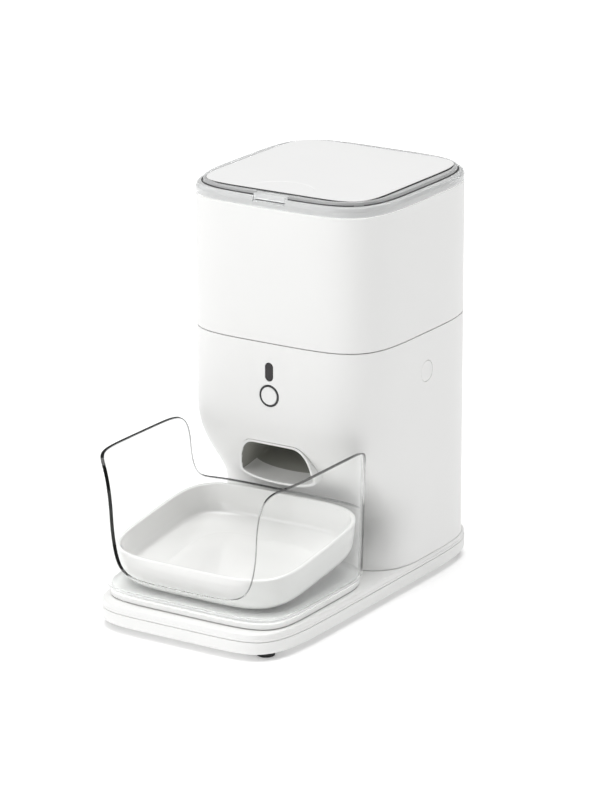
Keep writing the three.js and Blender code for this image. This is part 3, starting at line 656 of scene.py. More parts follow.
def build_base():
    lower = base_shell("lower_shell", [
        (34, 6, 0), (0.2, 6, 2.2), (0, 17, 0.35), (2.6, 17, 0.3), (2.6, 8, 1.4), (34, 8, 0),
    ])
    wells = []
    for place in FEET:
        centre = middle(f"foot_{place}")[:2]
        wells.append(rod("well", "z", centre, 5 * MM, 7 * MM, half_size(f"foot_{place}")[0] + 0.4 * MM, 0))
        wells.append(rod("hole", "z", centre, 5 * MM, 10 * MM, 3.4 * MM, 0))
    for i in SCREWS:
        wells.append(rod("hole", "z", middle(f"base_screw_{i}")[:2], 5 * MM, 11 * MM, 3.9 * MM, 0))
    finish_piece(cut(lower, *wells), "housing", "white_shell", WHITE, "base_lower_shell")

    cover = base_shell("top_cover", [
        (34, 21.6, 0), (2.6, 21.6, 1.2), (2.6, 17.4, 0.3), (0, 17.4, 0.35), (0, 19.4, 0.3), (0.35, 19.8, 0.2),
        (0.35, 24, 1.5), (34, 24, 0),
    ])
    platform = middle("weighing_platform")
    cable = block("cable_way", (-40 * MM, TOWER_Y - 25 * MM, 19 * MM), (40 * MM, TOWER_Y + 45 * MM, 26 * MM))
    cut(cover, rod("post_hole", "z", platform[:2], 19 * MM, 26 * MM, 13 * MM, 0), cable)
    bosses = []
    for i in SCREWS:
        centre = middle(f"base_screw_{i}")[:2]
        corners = [(1.5, 8.6, 0.2), (4, 8.6, 0.3), (4, 22, 0), (1.5, 22, 0)]
        profile = [(r * MM, z * MM) for r, z in rounded(corners, closed=True, steps=2)]
        bosses.append(lathe("boss", "z", centre, profile, closed=True, around=32))
    finish_piece(join(cover, *bosses), "housing", "white_shell", WHITE, "base_top_cover")


def build_feet():
    for place in FEET:
        node = f"foot_{place}"
        low, high = low_high(node)
        radius = half_size(node)[0]
        corners = [
            (0, 0.7, 0), (3.4, 0.7, 0.3), (4.0, 0, 0.3), (radius / MM - 0.4, 0, 0.8), (radius / MM, 5.7, 0.5),
            (3, 5.7, 0.2), (3, high[2] / MM, 0.5), (0, high[2] / MM, 0),
        ]
        profile = [(r * MM, low[2] + z * MM) for r, z in rounded(corners, steps=3)]
        pad = lathe(f"rubber_foot_{place}", "z", middle(node)[:2], profile)
        finish_piece(pad, "housing", "foot_rubber", RUBBER, node)


def screw_model(length, head, shank):
    """A cross-head screw whose head's top is at the origin and whose shank points down, out of view."""
    corners = [
        (0, 0, 0), (head * 0.72, 0, 0.3), (head, -0.9, 0.35), (head, -1.9, 0.1), (shank, -1.95, 0.2),
        (shank, -length, 0.3), (0, -length - 0.8, 0),
    ]
    profile = [(r * MM, z * MM) for r, z in rounded(corners, steps=3)]
    screw = lathe("screw_model", "z", (0, 0), profile, around=40)
    arms = []
    for wide, deep in ((0.42, 2.1), (2.1, 0.42)):
        low, high = (-wide * MM, -deep * MM, -1.2 * MM), (wide * MM, deep * MM, 1 * MM)
        arms.append(block("arm", low, high))
    return cut(screw, *arms)


def build_screws(name, nodes, head_face, tilt, length, head, shank):
    """One piece of screws, copied on the places of the CAD screws' heads."""
    mesh = bpy.data.meshes.new(name)
    mesh.from_pydata([head_face(node) for node in nodes], [], [])
    model = screw_model(length, head, shank)
    piece = grow(new_piece(name, mesh), PLACED_COPIES, copy=model, tilt=tilt, seed=len(name), material=ZINC)
    bpy.data.objects.remove(model)
    finish_piece(piece, "housing", "screw_steel", ZINC, *nodes)


def build_fasteners():
    def under(node):
        low, _ = low_high(node)
        return (*middle(node)[:2], low[2])

    def behind(node):
        _, high = low_high(node)
        return (middle(node)[0], high[1], middle(node)[2])

    base = [f"base_screw_{i}" for i in SCREWS]
    rear = [f"rear_screw_{i}" for i in SCREWS]
    build_screws("base_screws", base, under, (math.pi, 0, 0), 11.5, 3.3, 1.2)
    build_screws("rear_screws", rear, behind, (-math.pi / 2, 0, 0), 8.4, 3.2, 1.2)


def build_platform():
    half = half_size("weighing_platform")[:2]
    centre = middle("weighing_platform")
    corners = [(34, 27.7, 0), (3, 27.7, 1), (3, 24.8, 0.3), (0, 24.8, 0.5), (0, 29.7, 1.1), (34, 29.7, 0)]
    outline = rounded(corners)
    tray = skin("platform", [squared(half - i * MM, GUARD_POWER, centre[1], z * MM) for i, z in outline])
    post = rod("post", "z", centre[:2], 18.8 * MM, 28.7 * MM, 10 * MM)
    finish_piece(join(tray, post), "housing", "white_shell", WHITE, "weighing_platform")
    cell = refined("load_cell", "load_cell_bar", 0.4 * MM)
    finish_piece(cell, "housing", "cell_aluminium", ALUMINIUM, "load_cell")


# ---- guard and bowl ----
def guard_edge_height(x, is_front):
    def climb(across, turn, steepness):
        off = across - turn
        return 1 + np.tanh(steepness * np.sign(off) * np.abs(off) ** GUARD_BEND)

    heights = []
    for turn, low, steepness in GUARD_EDGE.values():
        share = climb(np.abs(x) / MM, turn, steepness) / climb(GUARD_HALF[0] / MM, turn, steepness)
        heights.append((low + (GUARD_TOP - low) * share) * MM)
    return np.where(is_front, *heights)


def guard_angles():
    """Angles round the guard, closer together where its top edge climbs."""
    angles = list(np.linspace(0, 2 * math.pi, 300, endpoint=False))
    for is_front in (True, False):
        turn, _, steepness = GUARD_EDGE["front" if is_front else "rear"]
        for level in np.linspace(-0.985, 0.985, 44):
            bend = math.atanh(level) / steepness
            x = (turn + math.copysign(abs(bend) ** (1 / GUARD_BEND), bend)) * MM
            if not 0 < x < GUARD_HALF[0] * 0.999:
                continue
            depth = GUARD_FRONT if is_front else GUARD_HALF[1]
            y = depth * (1 - (x / GUARD_HALF[0]) ** GUARD_POWER) ** (1 / GUARD_POWER)
            angle = math.atan2(-y if is_front else y, x)
            angles += [angle % (2 * math.pi), (math.pi - angle) % (2 * math.pi)]
    angles = np.array(sorted(angles))
    return angles[np.r_[True, np.diff(angles) > 0.0006]]


def mark_from_edge(piece, path):
    """Stores each point's distance from the cut edge's closed path, in millimetres."""
    ends = np.roll(path, -1, axis=0)
    dense = np.vstack([path + (ends - path) * t for t in np.linspace(0, 1, 6, endpoint=False)])
    tree = KDTree(len(dense))
    for i, point in enumerate(dense):
        tree.insert(point, i)
    tree.balance()
    marks = piece.data.attributes.new("from_edge", "FLOAT", "POINT")
    for i, vertex in enumerate(piece.data.vertices):
        marks.data[i].value = tree.find(vertex.co)[2] / MM


def fade_flat_lip(guard):
    """Clears most of the painted edge shade where the front lip lies flat and catches the light."""
    flat_end = GUARD_EDGE["front"][0] - 4
    fade_length = 22
    most = 1.1
    marks = guard.data.attributes["from_edge"].data
    for i, vertex in enumerate(guard.data.vertices):
        if vertex.co.y < GUARD_Y:
            marks[i].value += most * np.clip((flat_end - abs(vertex.co.x) / MM) / fade_length, 0, 1)


def build_guard():
    bottom = low_high("bowl_guard")[0][2]
    foot_top = bottom + 5.5 * MM
    angles = guard_angles()
    flat = squared(GUARD_HALF, GUARD_POWER, 0, 0, front=GUARD_FRONT, angles=angles)
    is_front = flat[:, 1] < 0
    edge = guard_edge_height(flat[:, 0], is_front)
    depth = np.where(is_front, GUARD_FRONT, GUARD_HALF[1])

    def ring(z, inset):
        rise = z - bottom
        wider = 1 + (GUARD_FLARE[0] * rise - inset) / GUARD_HALF[0]
        deeper = 1 + np.where(is_front, GUARD_FLARE[1] * rise - inset, -inset) / depth
        return np.stack([flat[:, 0] * wider, GUARD_Y + flat[:, 1] * deeper, z], 1)

    def level(share, inset):
        start = bottom + GUARD_START
        return ring(start + (edge - start) * share, inset)

    def low_rings(corners):
        return [ring(np.full(len(angles), bottom + z * MM), i * MM) for i, z in corners]

    foot = rounded([(30, 0, 0), (0, 0, 4), (0, 12, 0)], steps=6)
    inner = rounded([(2.4, 12, 0), (2.4, 2.4, 3.2), (30, 2.4, 0)], steps=6)
    shares = np.r_[np.linspace(0, 0.88, 9), 0.93, 0.965, 0.982, 0.992, 1]
    rings = low_rings(foot)
    rings += [level(s, 0) for s in shares[1:]]
    rings += [level(s, GUARD_WALL * MM) for s in shares[::-1]]
    rings += low_rings(inner[1:])
    guard = skin("bowl_guard_clear", rings)
    soften(guard, 0.45 * MM, 50, 3)
    # The distance from the edge drives the guard's painted edge shade.
    mark_from_edge(guard, level(1, GUARD_WALL * MM / 2))
    fade_flat_lip(guard)
    finish_piece(guard, "guard", "clear_guard", [CLEAR, GUARD_FOOT], "bowl_guard")
    for face in guard.data.polygons:
        face.material_index = int(face.center.z < foot_top)


def build_bowl():
    rim_turn = np.linspace(0.1, math.pi - 0.1, 9)
    rim = [(1.7 - 1.7 * math.cos(t), -1.7 + 1.7 * math.sin(t)) for t in rim_turn]
    rings = []
    for inset, z in [*rounded(BOWL_OUTSIDE, steps=7), *rim, *rounded(BOWL_INSIDE, steps=7)]:
        power = np.interp(inset, *BOWL_POWERS)
        rings.append(squared(BOWL_HALF - inset * MM, power, 0, z * MM))
    bowl = skin("glazed_bowl", rings)
    bowl.data.transform(Matrix.Translation(BOWL_PLACE) @ Matrix.Rotation(BOWL_TILT, 4, "X"))
    finish_piece(bowl, "bowl", "bowl_glaze", GLAZE, "food_bowl")
    rest = refined("bowl_rest", "bowl_cradle", 0.5 * MM)
    finish_piece(rest, "guard", "white_shell", WHITE, "bowl_rest")


# ---- tower ----
def belly_line():
    heights, fronts, powers = np.array(BELLY).T
    line = curve_through(np.stack([heights, fronts, powers * 10], 1), 9)
    return line[:, 0] * MM, line[:, 1] * MM, line[:, 2] / 10


def belly_ring(z, inset, line):
    heights, fronts, powers = line
    front = min(np.interp(z, heights, fronts, right=TOWER_HALF[1]), TOWER_HALF[1]) - inset
    power = np.interp(z, heights, powers, right=TOWER_POWER)
    return squared(TOWER_HALF - inset, TOWER_POWER, TOWER_Y, z, front=front, front_power=power)


def bezier(a, b, c, d, steps=10):
    t = np.linspace(0, 1, steps, endpoint=False)[:, None]
    a, b, c, d = (np.array(p, float) for p in (a, b, c, d))
    return (1 - t) ** 3 * a + 3 * (1 - t) ** 2 * t * b + 3 * (1 - t) * t**2 * c + t**3 * d


def outlet_outline(grown=0.0):
    """The outlet in millimetres, grown outwards: straight top, round shoulders, shallow round bottom."""
    w, top, bottom = CHUTE_SIZE
    right = np.vstack([
        np.linspace([0, top], [20, top], 6, endpoint=False),
        bezier((20, top), (33, top), (w, top - 16), (w, top - 30)),
        bezier((w, top - 30), (w, bottom + 5), (24, bottom), (0, bottom)),
    ])
    left = right[1:][::-1] * [-1, 1]
    points = np.vstack([right, [[0, bottom]], left])
    centre = (top + bottom) / 2
    points = points * [1 + grown / w, 1]
    points[:, 1] = centre + (points[:, 1] - centre) * (1 + 2 * grown / (top - bottom))
    return points


def chute_tube(name, grown):
    outline = outlet_outline(grown)
    w, top, bottom = CHUTE_SIZE
    share = (outline[:, 1] - bottom) / (top - bottom)
    rings = []
    for y, half, low, high in curve_through(CHUTE, 10):
        section = np.stack([outline[:, 0] * half / w, low + share * (high - low)], 1)
        rings.append(upright_ring(section, y) * MM + [0, TOWER_Y, 0])
    return skin(name, rings)


def shade_chute_inside(tube):
    """Paints shade on the chute's inside behind the lip: its grey stands for the shade in the tube. The floor
    near the lip stays white.
    """
    middle_z = middle("outlet_chute")[2]
    (top, top_reach), (bottom, bottom_reach) = np.array(LIP) * MM
    for face in tube.data.polygons:
        x, y, z = face.center
        behind_lip = y - TOWER_Y + np.interp(z, [bottom, top], [bottom_reach, top_reach])
        inwards = face.normal.x * x + face.normal.z * (z - middle_z) < 0
        is_floor = face.normal.z >= 0.55 and behind_lip <= 21 * MM
        if inwards and behind_lip > 1.2 * MM and not is_floor:
            face.material_index = 1


def pill(name, start, end, grown=0.0, edge=0.0):
    """An upright bar with round ends where the sensor window is, its front edge rounded."""
    half = half_size("sensor_window")
    centre_z = middle("sensor_window")[2]
    angles = np.linspace(0, 2 * math.pi, 64, endpoint=False)
    lift = np.where(np.sin(angles) >= 0, half[2] - half[0], half[0] - half[2])

    def outline(shrink):
        radius = half[0] + grown - shrink
        return np.stack([radius * np.cos(angles), centre_z + lift + radius * np.sin(angles)], 1)

    if not edge:
        return extruded(name, outline(0), start, end)
    rings = []
    for t in np.linspace(0, math.pi / 2, 6):
        rings.append(upright_ring(outline(edge * (1 - math.sin(t))), start + edge * (1 - math.cos(t))))
    rings.append(upright_ring(outline(0), end))
    return skin(name, rings)


def rear_panel_outline(grown):
    low, high = low_high("rear_cover")
    x, bottom, top = high[0] + grown, low[2] - grown, high[2] + grown
    corners = [(-x, bottom, 5 * MM), (x, bottom, 5 * MM), (x, top, 5 * MM), (-x, top, 5 * MM)]
    return rounded(corners, closed=True, steps=6)


def tower_wall(name):
    """The tower's whole wall, from which the body and the rear cover are cut."""
    line = belly_line()
    edge = 0.5 * MM
    lip = 0.15 * MM
    bottom, top = (end[2] for end in low_high("main_body_shell"))
    straight_from = BELLY[-1][0] * MM
    heights = [*np.arange(bottom + 1.2 * MM, straight_from, 1.6 * MM)]
    heights += [*np.arange(straight_from + MM, top - 1.5 * MM, 7.5 * MM)]
    levels = [(bottom, edge), (bottom + edge, 0), *((z, 0) for z in heights), (top - edge, 0)]
    levels += [(top - lip, lip), (top, edge), (top, WALL)]
    levels += [*((z, WALL) for z in heights[::-3]), (bottom, WALL)]
    return skin(name, [belly_ring(z, inset, line) for z, inset in levels], wrap=True)


def build_tower():
    button = middle("button_ring")
    ring_hole = half_size("button_ring")[0] + 0.25 * MM
    release = middle("release_button_left")[1:]
    release_hole = half_size("release_button_left")[1] + 0.22 * MM
    side = TOWER_HALF[0]
    body = cut(
        tower_wall("tower_body"),
        extruded("panel_hole", rear_panel_outline(GAP), *BACK_CUT),
        chute_tube("chute_hole", 0.3),
        pill("window_hole", *FRONT_CUT, 0.25 * MM),
        rod("button_hole", "y", (0, button[2]), *FRONT_CUT, ring_hole, 0, 96),
        rod("left_hole", "x", release, -side - 2 * MM, -side + 5 * MM, release_hole, 0, 96),
        rod("right_hole", "x", release, side - 5 * MM, side + 2 * MM, release_hole, 0, 96),
    )
    finish_piece(body, "housing", "white_shell", WHITE, "main_body_shell")
    build_chute()
    build_rear_cover()


def build_chute():
    half = 27 * MM
    mouth = block("rotor_mouth", (-half, TOWER_Y - 24 * MM, 112 * MM), (half, TOWER_Y + 14 * MM, 140 * MM))
    tube = cut(chute_tube("chute_lip", 0.0), chute_tube("inside", -2.0), mouth)
    section = [(-out, z) for z, out in LIP[::-1]] + [(30, z) for z, _ in LIP]
    rings = [[(x * MM, TOWER_Y + y * MM, z * MM) for y, z in section] for x in (-60, 60)]
    combine(tube, [skin("spout_block", rings)], "INTERSECT")
    soften(tube, 0.5 * MM, 50, 3)
    # The chute's second finish is the painted shade of its inside.
    finish_piece(tube, "housing", "white_shell", [WHITE, CHUTE_PAINTED_SHADE], "outlet_chute")
    shade_chute_inside(tube)


def build_rear_cover():
    cover = tower_wall("rear_cover_panel")
    combine(cover, [extruded("panel", rear_panel_outline(0), *BACK_CUT)], "INTERSECT")
    holes = []
    for node, radius in [("dc_socket", 6.2 * MM), *((f"rear_screw_{i}", 3.6 * MM) for i in SCREWS)]:
        x, _, z = middle(node)
        holes.append(rod("hole", "y", (x, z), *BACK_CUT, radius, 0))
    cut(cover, *holes)
    grow(
        cover, SLOTTED, slots=9, pitch=6 * MM, slot_width=3 * MM, slot_height=30 * MM,
        middle=(0, TOWER_BACK - 2 * MM, 81 * MM), material=WHITE,
    )
    finish_piece(cover, "housing", "white_shell", WHITE, "rear_cover")


def build_controls():
    window = pill("sensor_lens", TOWER_FRONT - 0.2 * MM, TOWER_FRONT + 3.4 * MM, 0, 0.6 * MM)
    finish_piece(window, "housing", "window_black", WINDOW, "sensor_window")
    low, high = low_high("button_ring")
    centre = (0, middle("button_ring")[2])
    outer, inner = half_size("button_ring")[0], half_size("feed_button")[0] + 0.25 * MM
    corners = [(inner, low[1], 0.3 * MM), (outer, low[1], 0.4 * MM), (outer, high[1], 0), (inner, high[1], 0)]
    ring = turned_wall("button_surround", "y", centre, corners, 96)
    finish_piece(ring, "housing", "ring_grey", DARK_RING, "button_ring")

    low, high = low_high("feed_button")
    radius = half_size("feed_button")[0]
    corners = [
        (0, low[1] + 0.35 * MM, 0), (radius * 0.55, low[1] + 0.2 * MM, 6 * MM), (radius, low[1], 0.6 * MM),
        (radius, low[1] + 4.5 * MM, 0.3 * MM), (2 * MM, low[1] + 4.5 * MM, 0), (2 * MM, high[1], 0.2 * MM),
        (0, high[1], 0),
    ]
    cap = lathe("feed_button_cap", "y", centre, rounded(corners), around=96)
    finish_piece(cap, "feed_button", "white_shell", WHITE, "feed_button")

    for name, side in (("left", -1), ("right", 1)):
        node = f"release_button_{name}"
        low, high = low_high(node)
        face, stem_end = (low[0], high[0]) if side < 0 else (high[0], low[0])
        inwards = -side * MM
        radius = half_size(node)[1]
        corners = [
            (0, face + 0.25 * inwards, 0), (radius * 0.6, face + 0.15 * inwards, 8 * MM),
            (radius, face, 0.5 * MM), (radius, face + 4.9 * inwards, 0.3 * MM),
            (4 * MM, face + 4.9 * inwards, 0), (4 * MM, stem_end, 0.3 * MM), (0, stem_end, 0),
        ]
        cap = lathe(f"release_cap_{name}", "x", middle(node)[1:], rounded(corners), around=96)
        finish_piece(cap, f"release_{name}", "white_shell", WHITE, node)

    low, high = low_high("dc_socket")
    socket = (middle("dc_socket")[0], middle("dc_socket")[2])
    outer, bore, floor = 6 * MM, 2.9 * MM, low[1] + 2 * MM
    corners = [
        (0, low[1], 0), (outer, low[1], 0.4 * MM), (outer, high[1], 0.4 * MM), (bore, high[1], 0.5 * MM),
        (bore, floor, 0.2 * MM), (0, floor, 0),
    ]
    barrel = lathe("power_socket", "y", socket, rounded(corners), around=64)
    pin = rod("pin", "y", socket, low[1] + 1.5 * MM, high[1] - 1.8 * MM, 1 * MM, 0.4 * MM, 32)
    finish_piece(join(barrel, pin), "housing", "socket_black", SOCKET_BLACK, "dc_socket")
    build_board()


def build_board():
    low, high = low_high("control_board")
    board = block("control_board_plate", low, high, 0.15 * MM)
    # Chips: (share of the way to the side, share of the way up, half width, half height, thickness).
    chips = [
        (-0.62, 0.3, 5, 5, 1.1), (-0.1, -0.35, 8, 4, 1.3), (0.5, 0.4, 4, 6, 1.0), (0.62, -0.5, 3, 3, 2.0),
    ]
    parts = []
    for x, z, wide, tall, deep in chips:
        at = middle("control_board") + half_size("control_board") * [x, 0, z]
        spread = np.array([wide, 0, tall]) * MM
        near, far = at - spread, at + spread
        near[1], far[1] = high[1] - 0.2 * MM, high[1] + deep * MM
        parts.append(block("chip", near, far, 0.2 * MM))
    finish_piece(join(board, *parts), "housing", "board_green", BOARD, "control_board")


# ---- dispenser ----
def build_dispenser():
    simple = [
        ("hopper_deck", "hopper_deck_plate", "housing", "white_shell", INNER_WHITE, 0.35),
        ("dispensing_rotor", "paddle_rotor", "rotor", "rotor_silicone", SILICONE_AND_SHADE, 0.45),
        ("rotor_gear", "rotor_gear_wheel", "rotor", "gear_nylon", NYLON, 0.1),
        ("motor_pinion", "motor_pinion_gear", "pinion", "bush_brass", BRASS, 0.08),
        ("motor_bracket", "motor_bracket_plate", "housing", "shaft_steel", STEEL, 0.25),
    ]
    for node, name, body, slot, material, edge in simple:
        finish_piece(refined(node, name, edge * MM), body, slot, material, node)

    y, z = middle("rotor_housing")[1:]
    hole, inner, outer = 6.2 * MM, 35.6 * MM, 38.2 * MM
    end = half_size("rotor_housing")[0]
    inside = end - 2.5 * MM
    drum = turned_wall("rotor_drum", "x", (y, z), [
        (hole, -end, 0.3 * MM), (outer, -end, 1.2 * MM), (outer, end, 1.2 * MM), (hole, end, 0.3 * MM),
        (hole, inside, 0), (inner, inside, 0.8 * MM), (inner, -inside, 0.8 * MM), (hole, -inside, 0),
    ], 128)
    mouth = block("mouth", (-26 * MM, y - 24 * MM, z + 15 * MM), (26 * MM, y + 24 * MM, z + 60 * MM))
    drop = block("drop", (-26 * MM, y - 19 * MM, z - 60 * MM), (26 * MM, y + 17 * MM, z - 15 * MM))
    finish_piece(cut(drum, mouth, drop), "housing", "white_shell", INNER_WHITE, "rotor_housing")

    for side in ("left", "right"):
        node = f"rotor_bushing_{side}"
        start, end = (corner[0] for corner in low_high(node))
        bore, radius = 3.3 * MM, half_size(node)[1]
        bush = turned_wall(f"rotor_bush_{side}", "x", middle(node)[1:], [
            (bore, start, 0.3 * MM), (radius, start, 0.4 * MM),
            (radius, end, 0.4 * MM), (bore, end, 0.3 * MM),
        ])
        finish_piece(bush, "housing", "bush_brass", BRASS, node)
    for node, name, body in (("rotor_shaft", "rotor_axle", "rotor"), ("motor_shaft", "motor_axle", "pinion")):
        low, high = low_high(node)
        bar = rod(name, "x", middle(node)[1:], low[0], high[0], half_size(node)[1], 0.4 * MM, 64)
        finish_piece(bar, body, "shaft_steel", STEEL, node)

    start, end = (corner[0] for corner in low_high("drive_motor"))
    radius = half_size("drive_motor")[1]
    neck, boss, bore = radius * 0.94, 4 * MM, 1.8 * MM
    can = turned_wall("gear_motor", "x", middle("drive_motor")[1:], [
        (bore, start, 0.2 * MM), (neck, start, 0.4 * MM), (neck, start + 9 * MM, 0.3 * MM),
        (radius, start + 9.4 * MM, 0.3 * MM), (radius, end - 1.2 * MM, 1.2 * MM),
        (boss, end - 1.2 * MM, 0.3 * MM), (boss, end, 0.4 * MM), (0, end, 0), (0, start + 6 * MM, 0),
        (bore, start + 6 * MM, 0),
    ], 96)
    finish_piece(can, "housing", "shaft_steel", STEEL, "drive_motor")


# ---- hopper ----
def profile_piece(name, corners):
    """A mesh that holds only a closed profile of (inset, height) points, for the squared shell tree."""
    points = rounded(corners, closed=True) * MM
    mesh = bpy.data.meshes.new(name)
    mesh.from_pydata([(x, 0, z) for x, z in points], [], [])
    return new_piece(name, mesh)


def tower_shell(name, corners, material):
    piece = grow(
        profile_piece(name, corners), SQUARED_SHELL, half_width=float(TOWER_HALF[0]), power=TOWER_POWER,
        half_depth=float(TOWER_HALF[1]), centre_y=float(TOWER_Y), around=AROUND, material=material,
    )
    bm = bmesh.new()
    bm.from_mesh(piece.data)
    bmesh.ops.recalc_face_normals(bm, faces=bm.faces)
    bm.to_mesh(piece.data)
    bm.free()
    return piece


def hinge_line():
    return middle("hinge_pin_left")[1], middle("hinge_pin_left")[2]


def hinge_bore():
    return rod("bore", "x", hinge_line(), -60 * MM, 60 * MM, 1.6 * MM, 0)


def lugs_at(near, far, web_low, web_high):
    """Hinge eyes on both sides from near to far along X, with webs at heights from the hinge's axis."""
    y, z = hinge_line()
    lugs = []
    for start, end in ((-far, -near), (near, far)):
        eye = rod("eye", "x", (y, z), start, end, 3 * MM, 0.3 * MM, 48)
        low = (start + 0.1 * MM, TOWER_BACK - 2 * MM, z + web_low)
        high = (end - 0.1 * MM, y + 0.8 * MM, z + web_high)
        lugs.append(join(eye, block("web", low, high, 0.2 * MM)))
    return lugs


def build_hopper():
    bottom = low_high("hopper_shell")[0][2] / MM
    rim = 341.0
    wall = WALL / MM
    shell = tower_shell("hopper_body", [
        (0, bottom, 0.45), (0, rim, 0.9), (wall, rim, 0.6), (wall, bottom, 0.4),
    ], WHITE)
    pin_end = low_high("hinge_pin_right")[1][0]
    join(shell, *lugs_at(pin_end - 7.5 * MM, pin_end, -12 * MM, -0.6 * MM))
    cut(shell, hinge_bore())
    finish_piece(shell, "hopper", "white_shell", WHITE, "hopper_shell")

    for side in ("left", "right"):
        node = f"hinge_pin_{side}"
        low, high = low_high(node)
        pin = rod(f"lid_{node}", "x", hinge_line(), low[0], high[0], half_size(node)[1], 0.5 * MM, 40)
        finish_piece(pin, "hopper", "shaft_steel", STEEL, node)
    build_funnel()


def build_funnel():
    """The funnel from the throat over the rotor to the hopper's wall."""
    rotor_y, tower_y = middle("dispensing_rotor")[1] / MM, TOWER_Y / MM
    wide, deep = TOWER_HALF / MM - 2.9
    # Sections: (height, half width, half depth, corner power, middle along Y).
    line = curve_through([
        (211.5, 27, 25, 5, rotor_y), (224, 27.6, 25.6, 5, rotor_y), (233, 31, 29.5, 4.9, rotor_y),
        (260, 62, 62, 4.6, tower_y - 1.5), (283, wide - 1.5, deep - 1.5, TOWER_POWER, tower_y),
        (292, wide, deep, TOWER_POWER, tower_y),
    ])
    line[:, 1] = np.minimum(line[:, 1], wide)
    line[:, 2] = np.minimum(line[:, 2], deep)

    def ring(section, thinner):
        z, half_w, half_d, power, y = section
        return squared(np.array([half_w - thinner, half_d - thinner]) * MM, power, y * MM, z * MM)

    rings = [ring(s, 0) for s in line] + [ring(s, 2.0) for s in line[::-1]]
    funnel = skin("hopper_funnel_skin", rings, wrap=True)
    finish_piece(funnel, "hopper", "white_shell", INNER_WHITE, "hopper_funnel")


# ---- lid ----
def tower_ring(inset, z):
    return squared(TOWER_HALF - inset * MM, TOWER_POWER, TOWER_Y, z * MM)


def plate_ring(inset, z):
    return squared(PLATE_HALF - inset * MM, PLATE_POWER, TOWER_Y, z * MM)


def plate_share(x, y):
    """How far out a point lies, where 1 is on the plate's outline."""
    across = abs(x) / PLATE_HALF[0]
    along = abs(y - TOWER_Y) / PLATE_HALF[1]
    return (across**PLATE_POWER + along**PLATE_POWER) ** (1 / PLATE_POWER)


def build_lid_frame():
    bottom = low_high("lid_plate")[0][2] / MM - 9.6
    rim = 353.2
    outline = rounded([
        (6.5, 348.2, 0), (6, bottom, 0.4), (0.3, bottom, 0.4), (0, 346.3, 2), (1.2, 349.4, 1.6),
        (3.8, 350, 0.5), (5, 350.2, 0.15), (5.06, 350.7, 0), (5.4, rim, 0.7), (8, rim - 0.1, 0),
    ])
    recess = rounded([(-1.2, rim - 0.55, 0), (-0.9, rim - 0.6, 0.2), (-0.9, 350.6, 0)])
    lid = skin("lid_rim", [tower_ring(i, z) for i, z in outline] + [plate_ring(i, z) for i, z in recess])
    reach = half_size("lid_latch")[0] + GAP
    front, back = TOWER_FRONT - 2 * MM, TOWER_FRONT + 9.6 * MM
    room = block("latch_room", (-reach, front, 345.4 * MM), (reach, back, 356 * MM))
    pin_start = low_high("hinge_pin_right")[0][0]
    join(lid, *lugs_at(pin_start, pin_start + 15.6 * MM, 0.6 * MM, 2.8 * MM))
    cut(lid, room, hinge_bore())
    finish_piece(lid, "lid", "clear_lid", [LID_CLEAR, LID_GAP_SHADOW], "lid_frame")
    # Painted shadow: the plate's recess wall and the foot of the frame's step get the near-black gap shadow.
    for face in lid.data.polygons:
        x, y, z = face.center / MM
        share = plate_share(x * MM, y * MM)
        in_recess = 350.55 < z < 352.9 and share < 1.0125
        at_step = 350.05 < z < 350.75 and share > 1.03
        face.material_index = int(in_recess or at_step)


def build_lid_plate():
    low, high = low_high("lid_plate")
    bottom, top = low[2] / MM, high[2] / MM
    side_top = top - 0.6
    corners = [(34, bottom, 0), (0, bottom, 0.4), (0, side_top, 0), (0, top, 0.6), (34, top, 0)]
    plate = skin("lid_top_plate", [plate_ring(i, z) for i, z in rounded(corners)])
    arc_radius, depth = 31 * MM, 0.55 * MM
    turn = np.linspace(0, 2 * math.pi, 16, endpoint=False)
    groove = [(arc_radius + depth * math.cos(t), high[2] + 0.35 * MM + depth * math.sin(t)) for t in turn]
    cut(plate, lathe("thumb_arc", "z", (0, low[1] + MM), groove, closed=True, around=96))
    finish_piece(plate, "lid", "white_shell", [PLATE_PAINTED_LIGHT, LID_GAP_SHADOW], "lid_plate")
    # Painted shadow: the plate's sideways faces under its top edge get the near-black gap shadow.
    for face in plate.data.polygons:
        face.material_index = int(face.center.z < side_top * MM and abs(face.normal.z) < 0.5)


def build_lid():
    build_lid_frame()
    build_lid_plate()
    low, high = low_high("lid_seal")
    bottom, top = low[2] / MM, high[2] / MM
    seal = tower_shell("lid_seal_ring", [
        (3.1, top - 0.5, 0.3), (3.3, top, 0.3), (6, top, 0.3), (6, bottom, 0.5), (3.8, bottom, 0.5),
        (3.1, bottom + 1.2, 0.3),
    ], SEAL)
    finish_piece(seal, "lid", "seal_silicone", SEAL, "lid_seal")

    low, high = low_high("lid_latch")
    tab = block("lid_tab", low, high, 0.9 * MM)
    groove_z, groove = high[2] + 0.3 * MM, 0.55 * MM
    ribs = []
    for x in range(-9, 10, 3):
        ribs.append(rod("rib", "y", (x * MM, groove_z), low[1] - MM, high[1] + MM, groove, 0, 16))
    finish_piece(cut(tab, *ribs), "latch", "clear_lid", LID_CLEAR, "lid_latch")

    bottom, top = (corner[2] for corner in low_high("desiccant_box"))
    radius, vent, wall = half_size("desiccant_box")[0], 12 * MM, 2 * MM
    tub = turned_wall("desiccant_cup", "z", middle("desiccant_box")[:2], [
        (vent, bottom, 0.4 * MM), (radius, bottom, 2 * MM), (radius, top, 0.8 * MM), (0, top, 0),
        (0, top - wall, 0), (radius - wall, top - wall, 0.8 * MM), (radius - wall, bottom + wall, 1.2 * MM),
        (vent, bottom + wall, 0.4 * MM),
    ], 96)
    finish_piece(tub, "lid", "white_shell", INNER_WHITE, "desiccant_box")


# ---- camera, floor and light ----
AZIMUTH, ELEVATION = math.radians(32.1145), math.radians(17.1829)
DISTANCE = 3.46467
FOCAL = 181.48  # millimetres, on a 36 mm long side
CAMERA_CENTRE = Vector((0, TOWER_Y, 172.49 * MM))
AIM_RIGHT, AIM_UP = 26.56 * MM, 22.08 * MM  # how far the centre stands right of the aim and over it


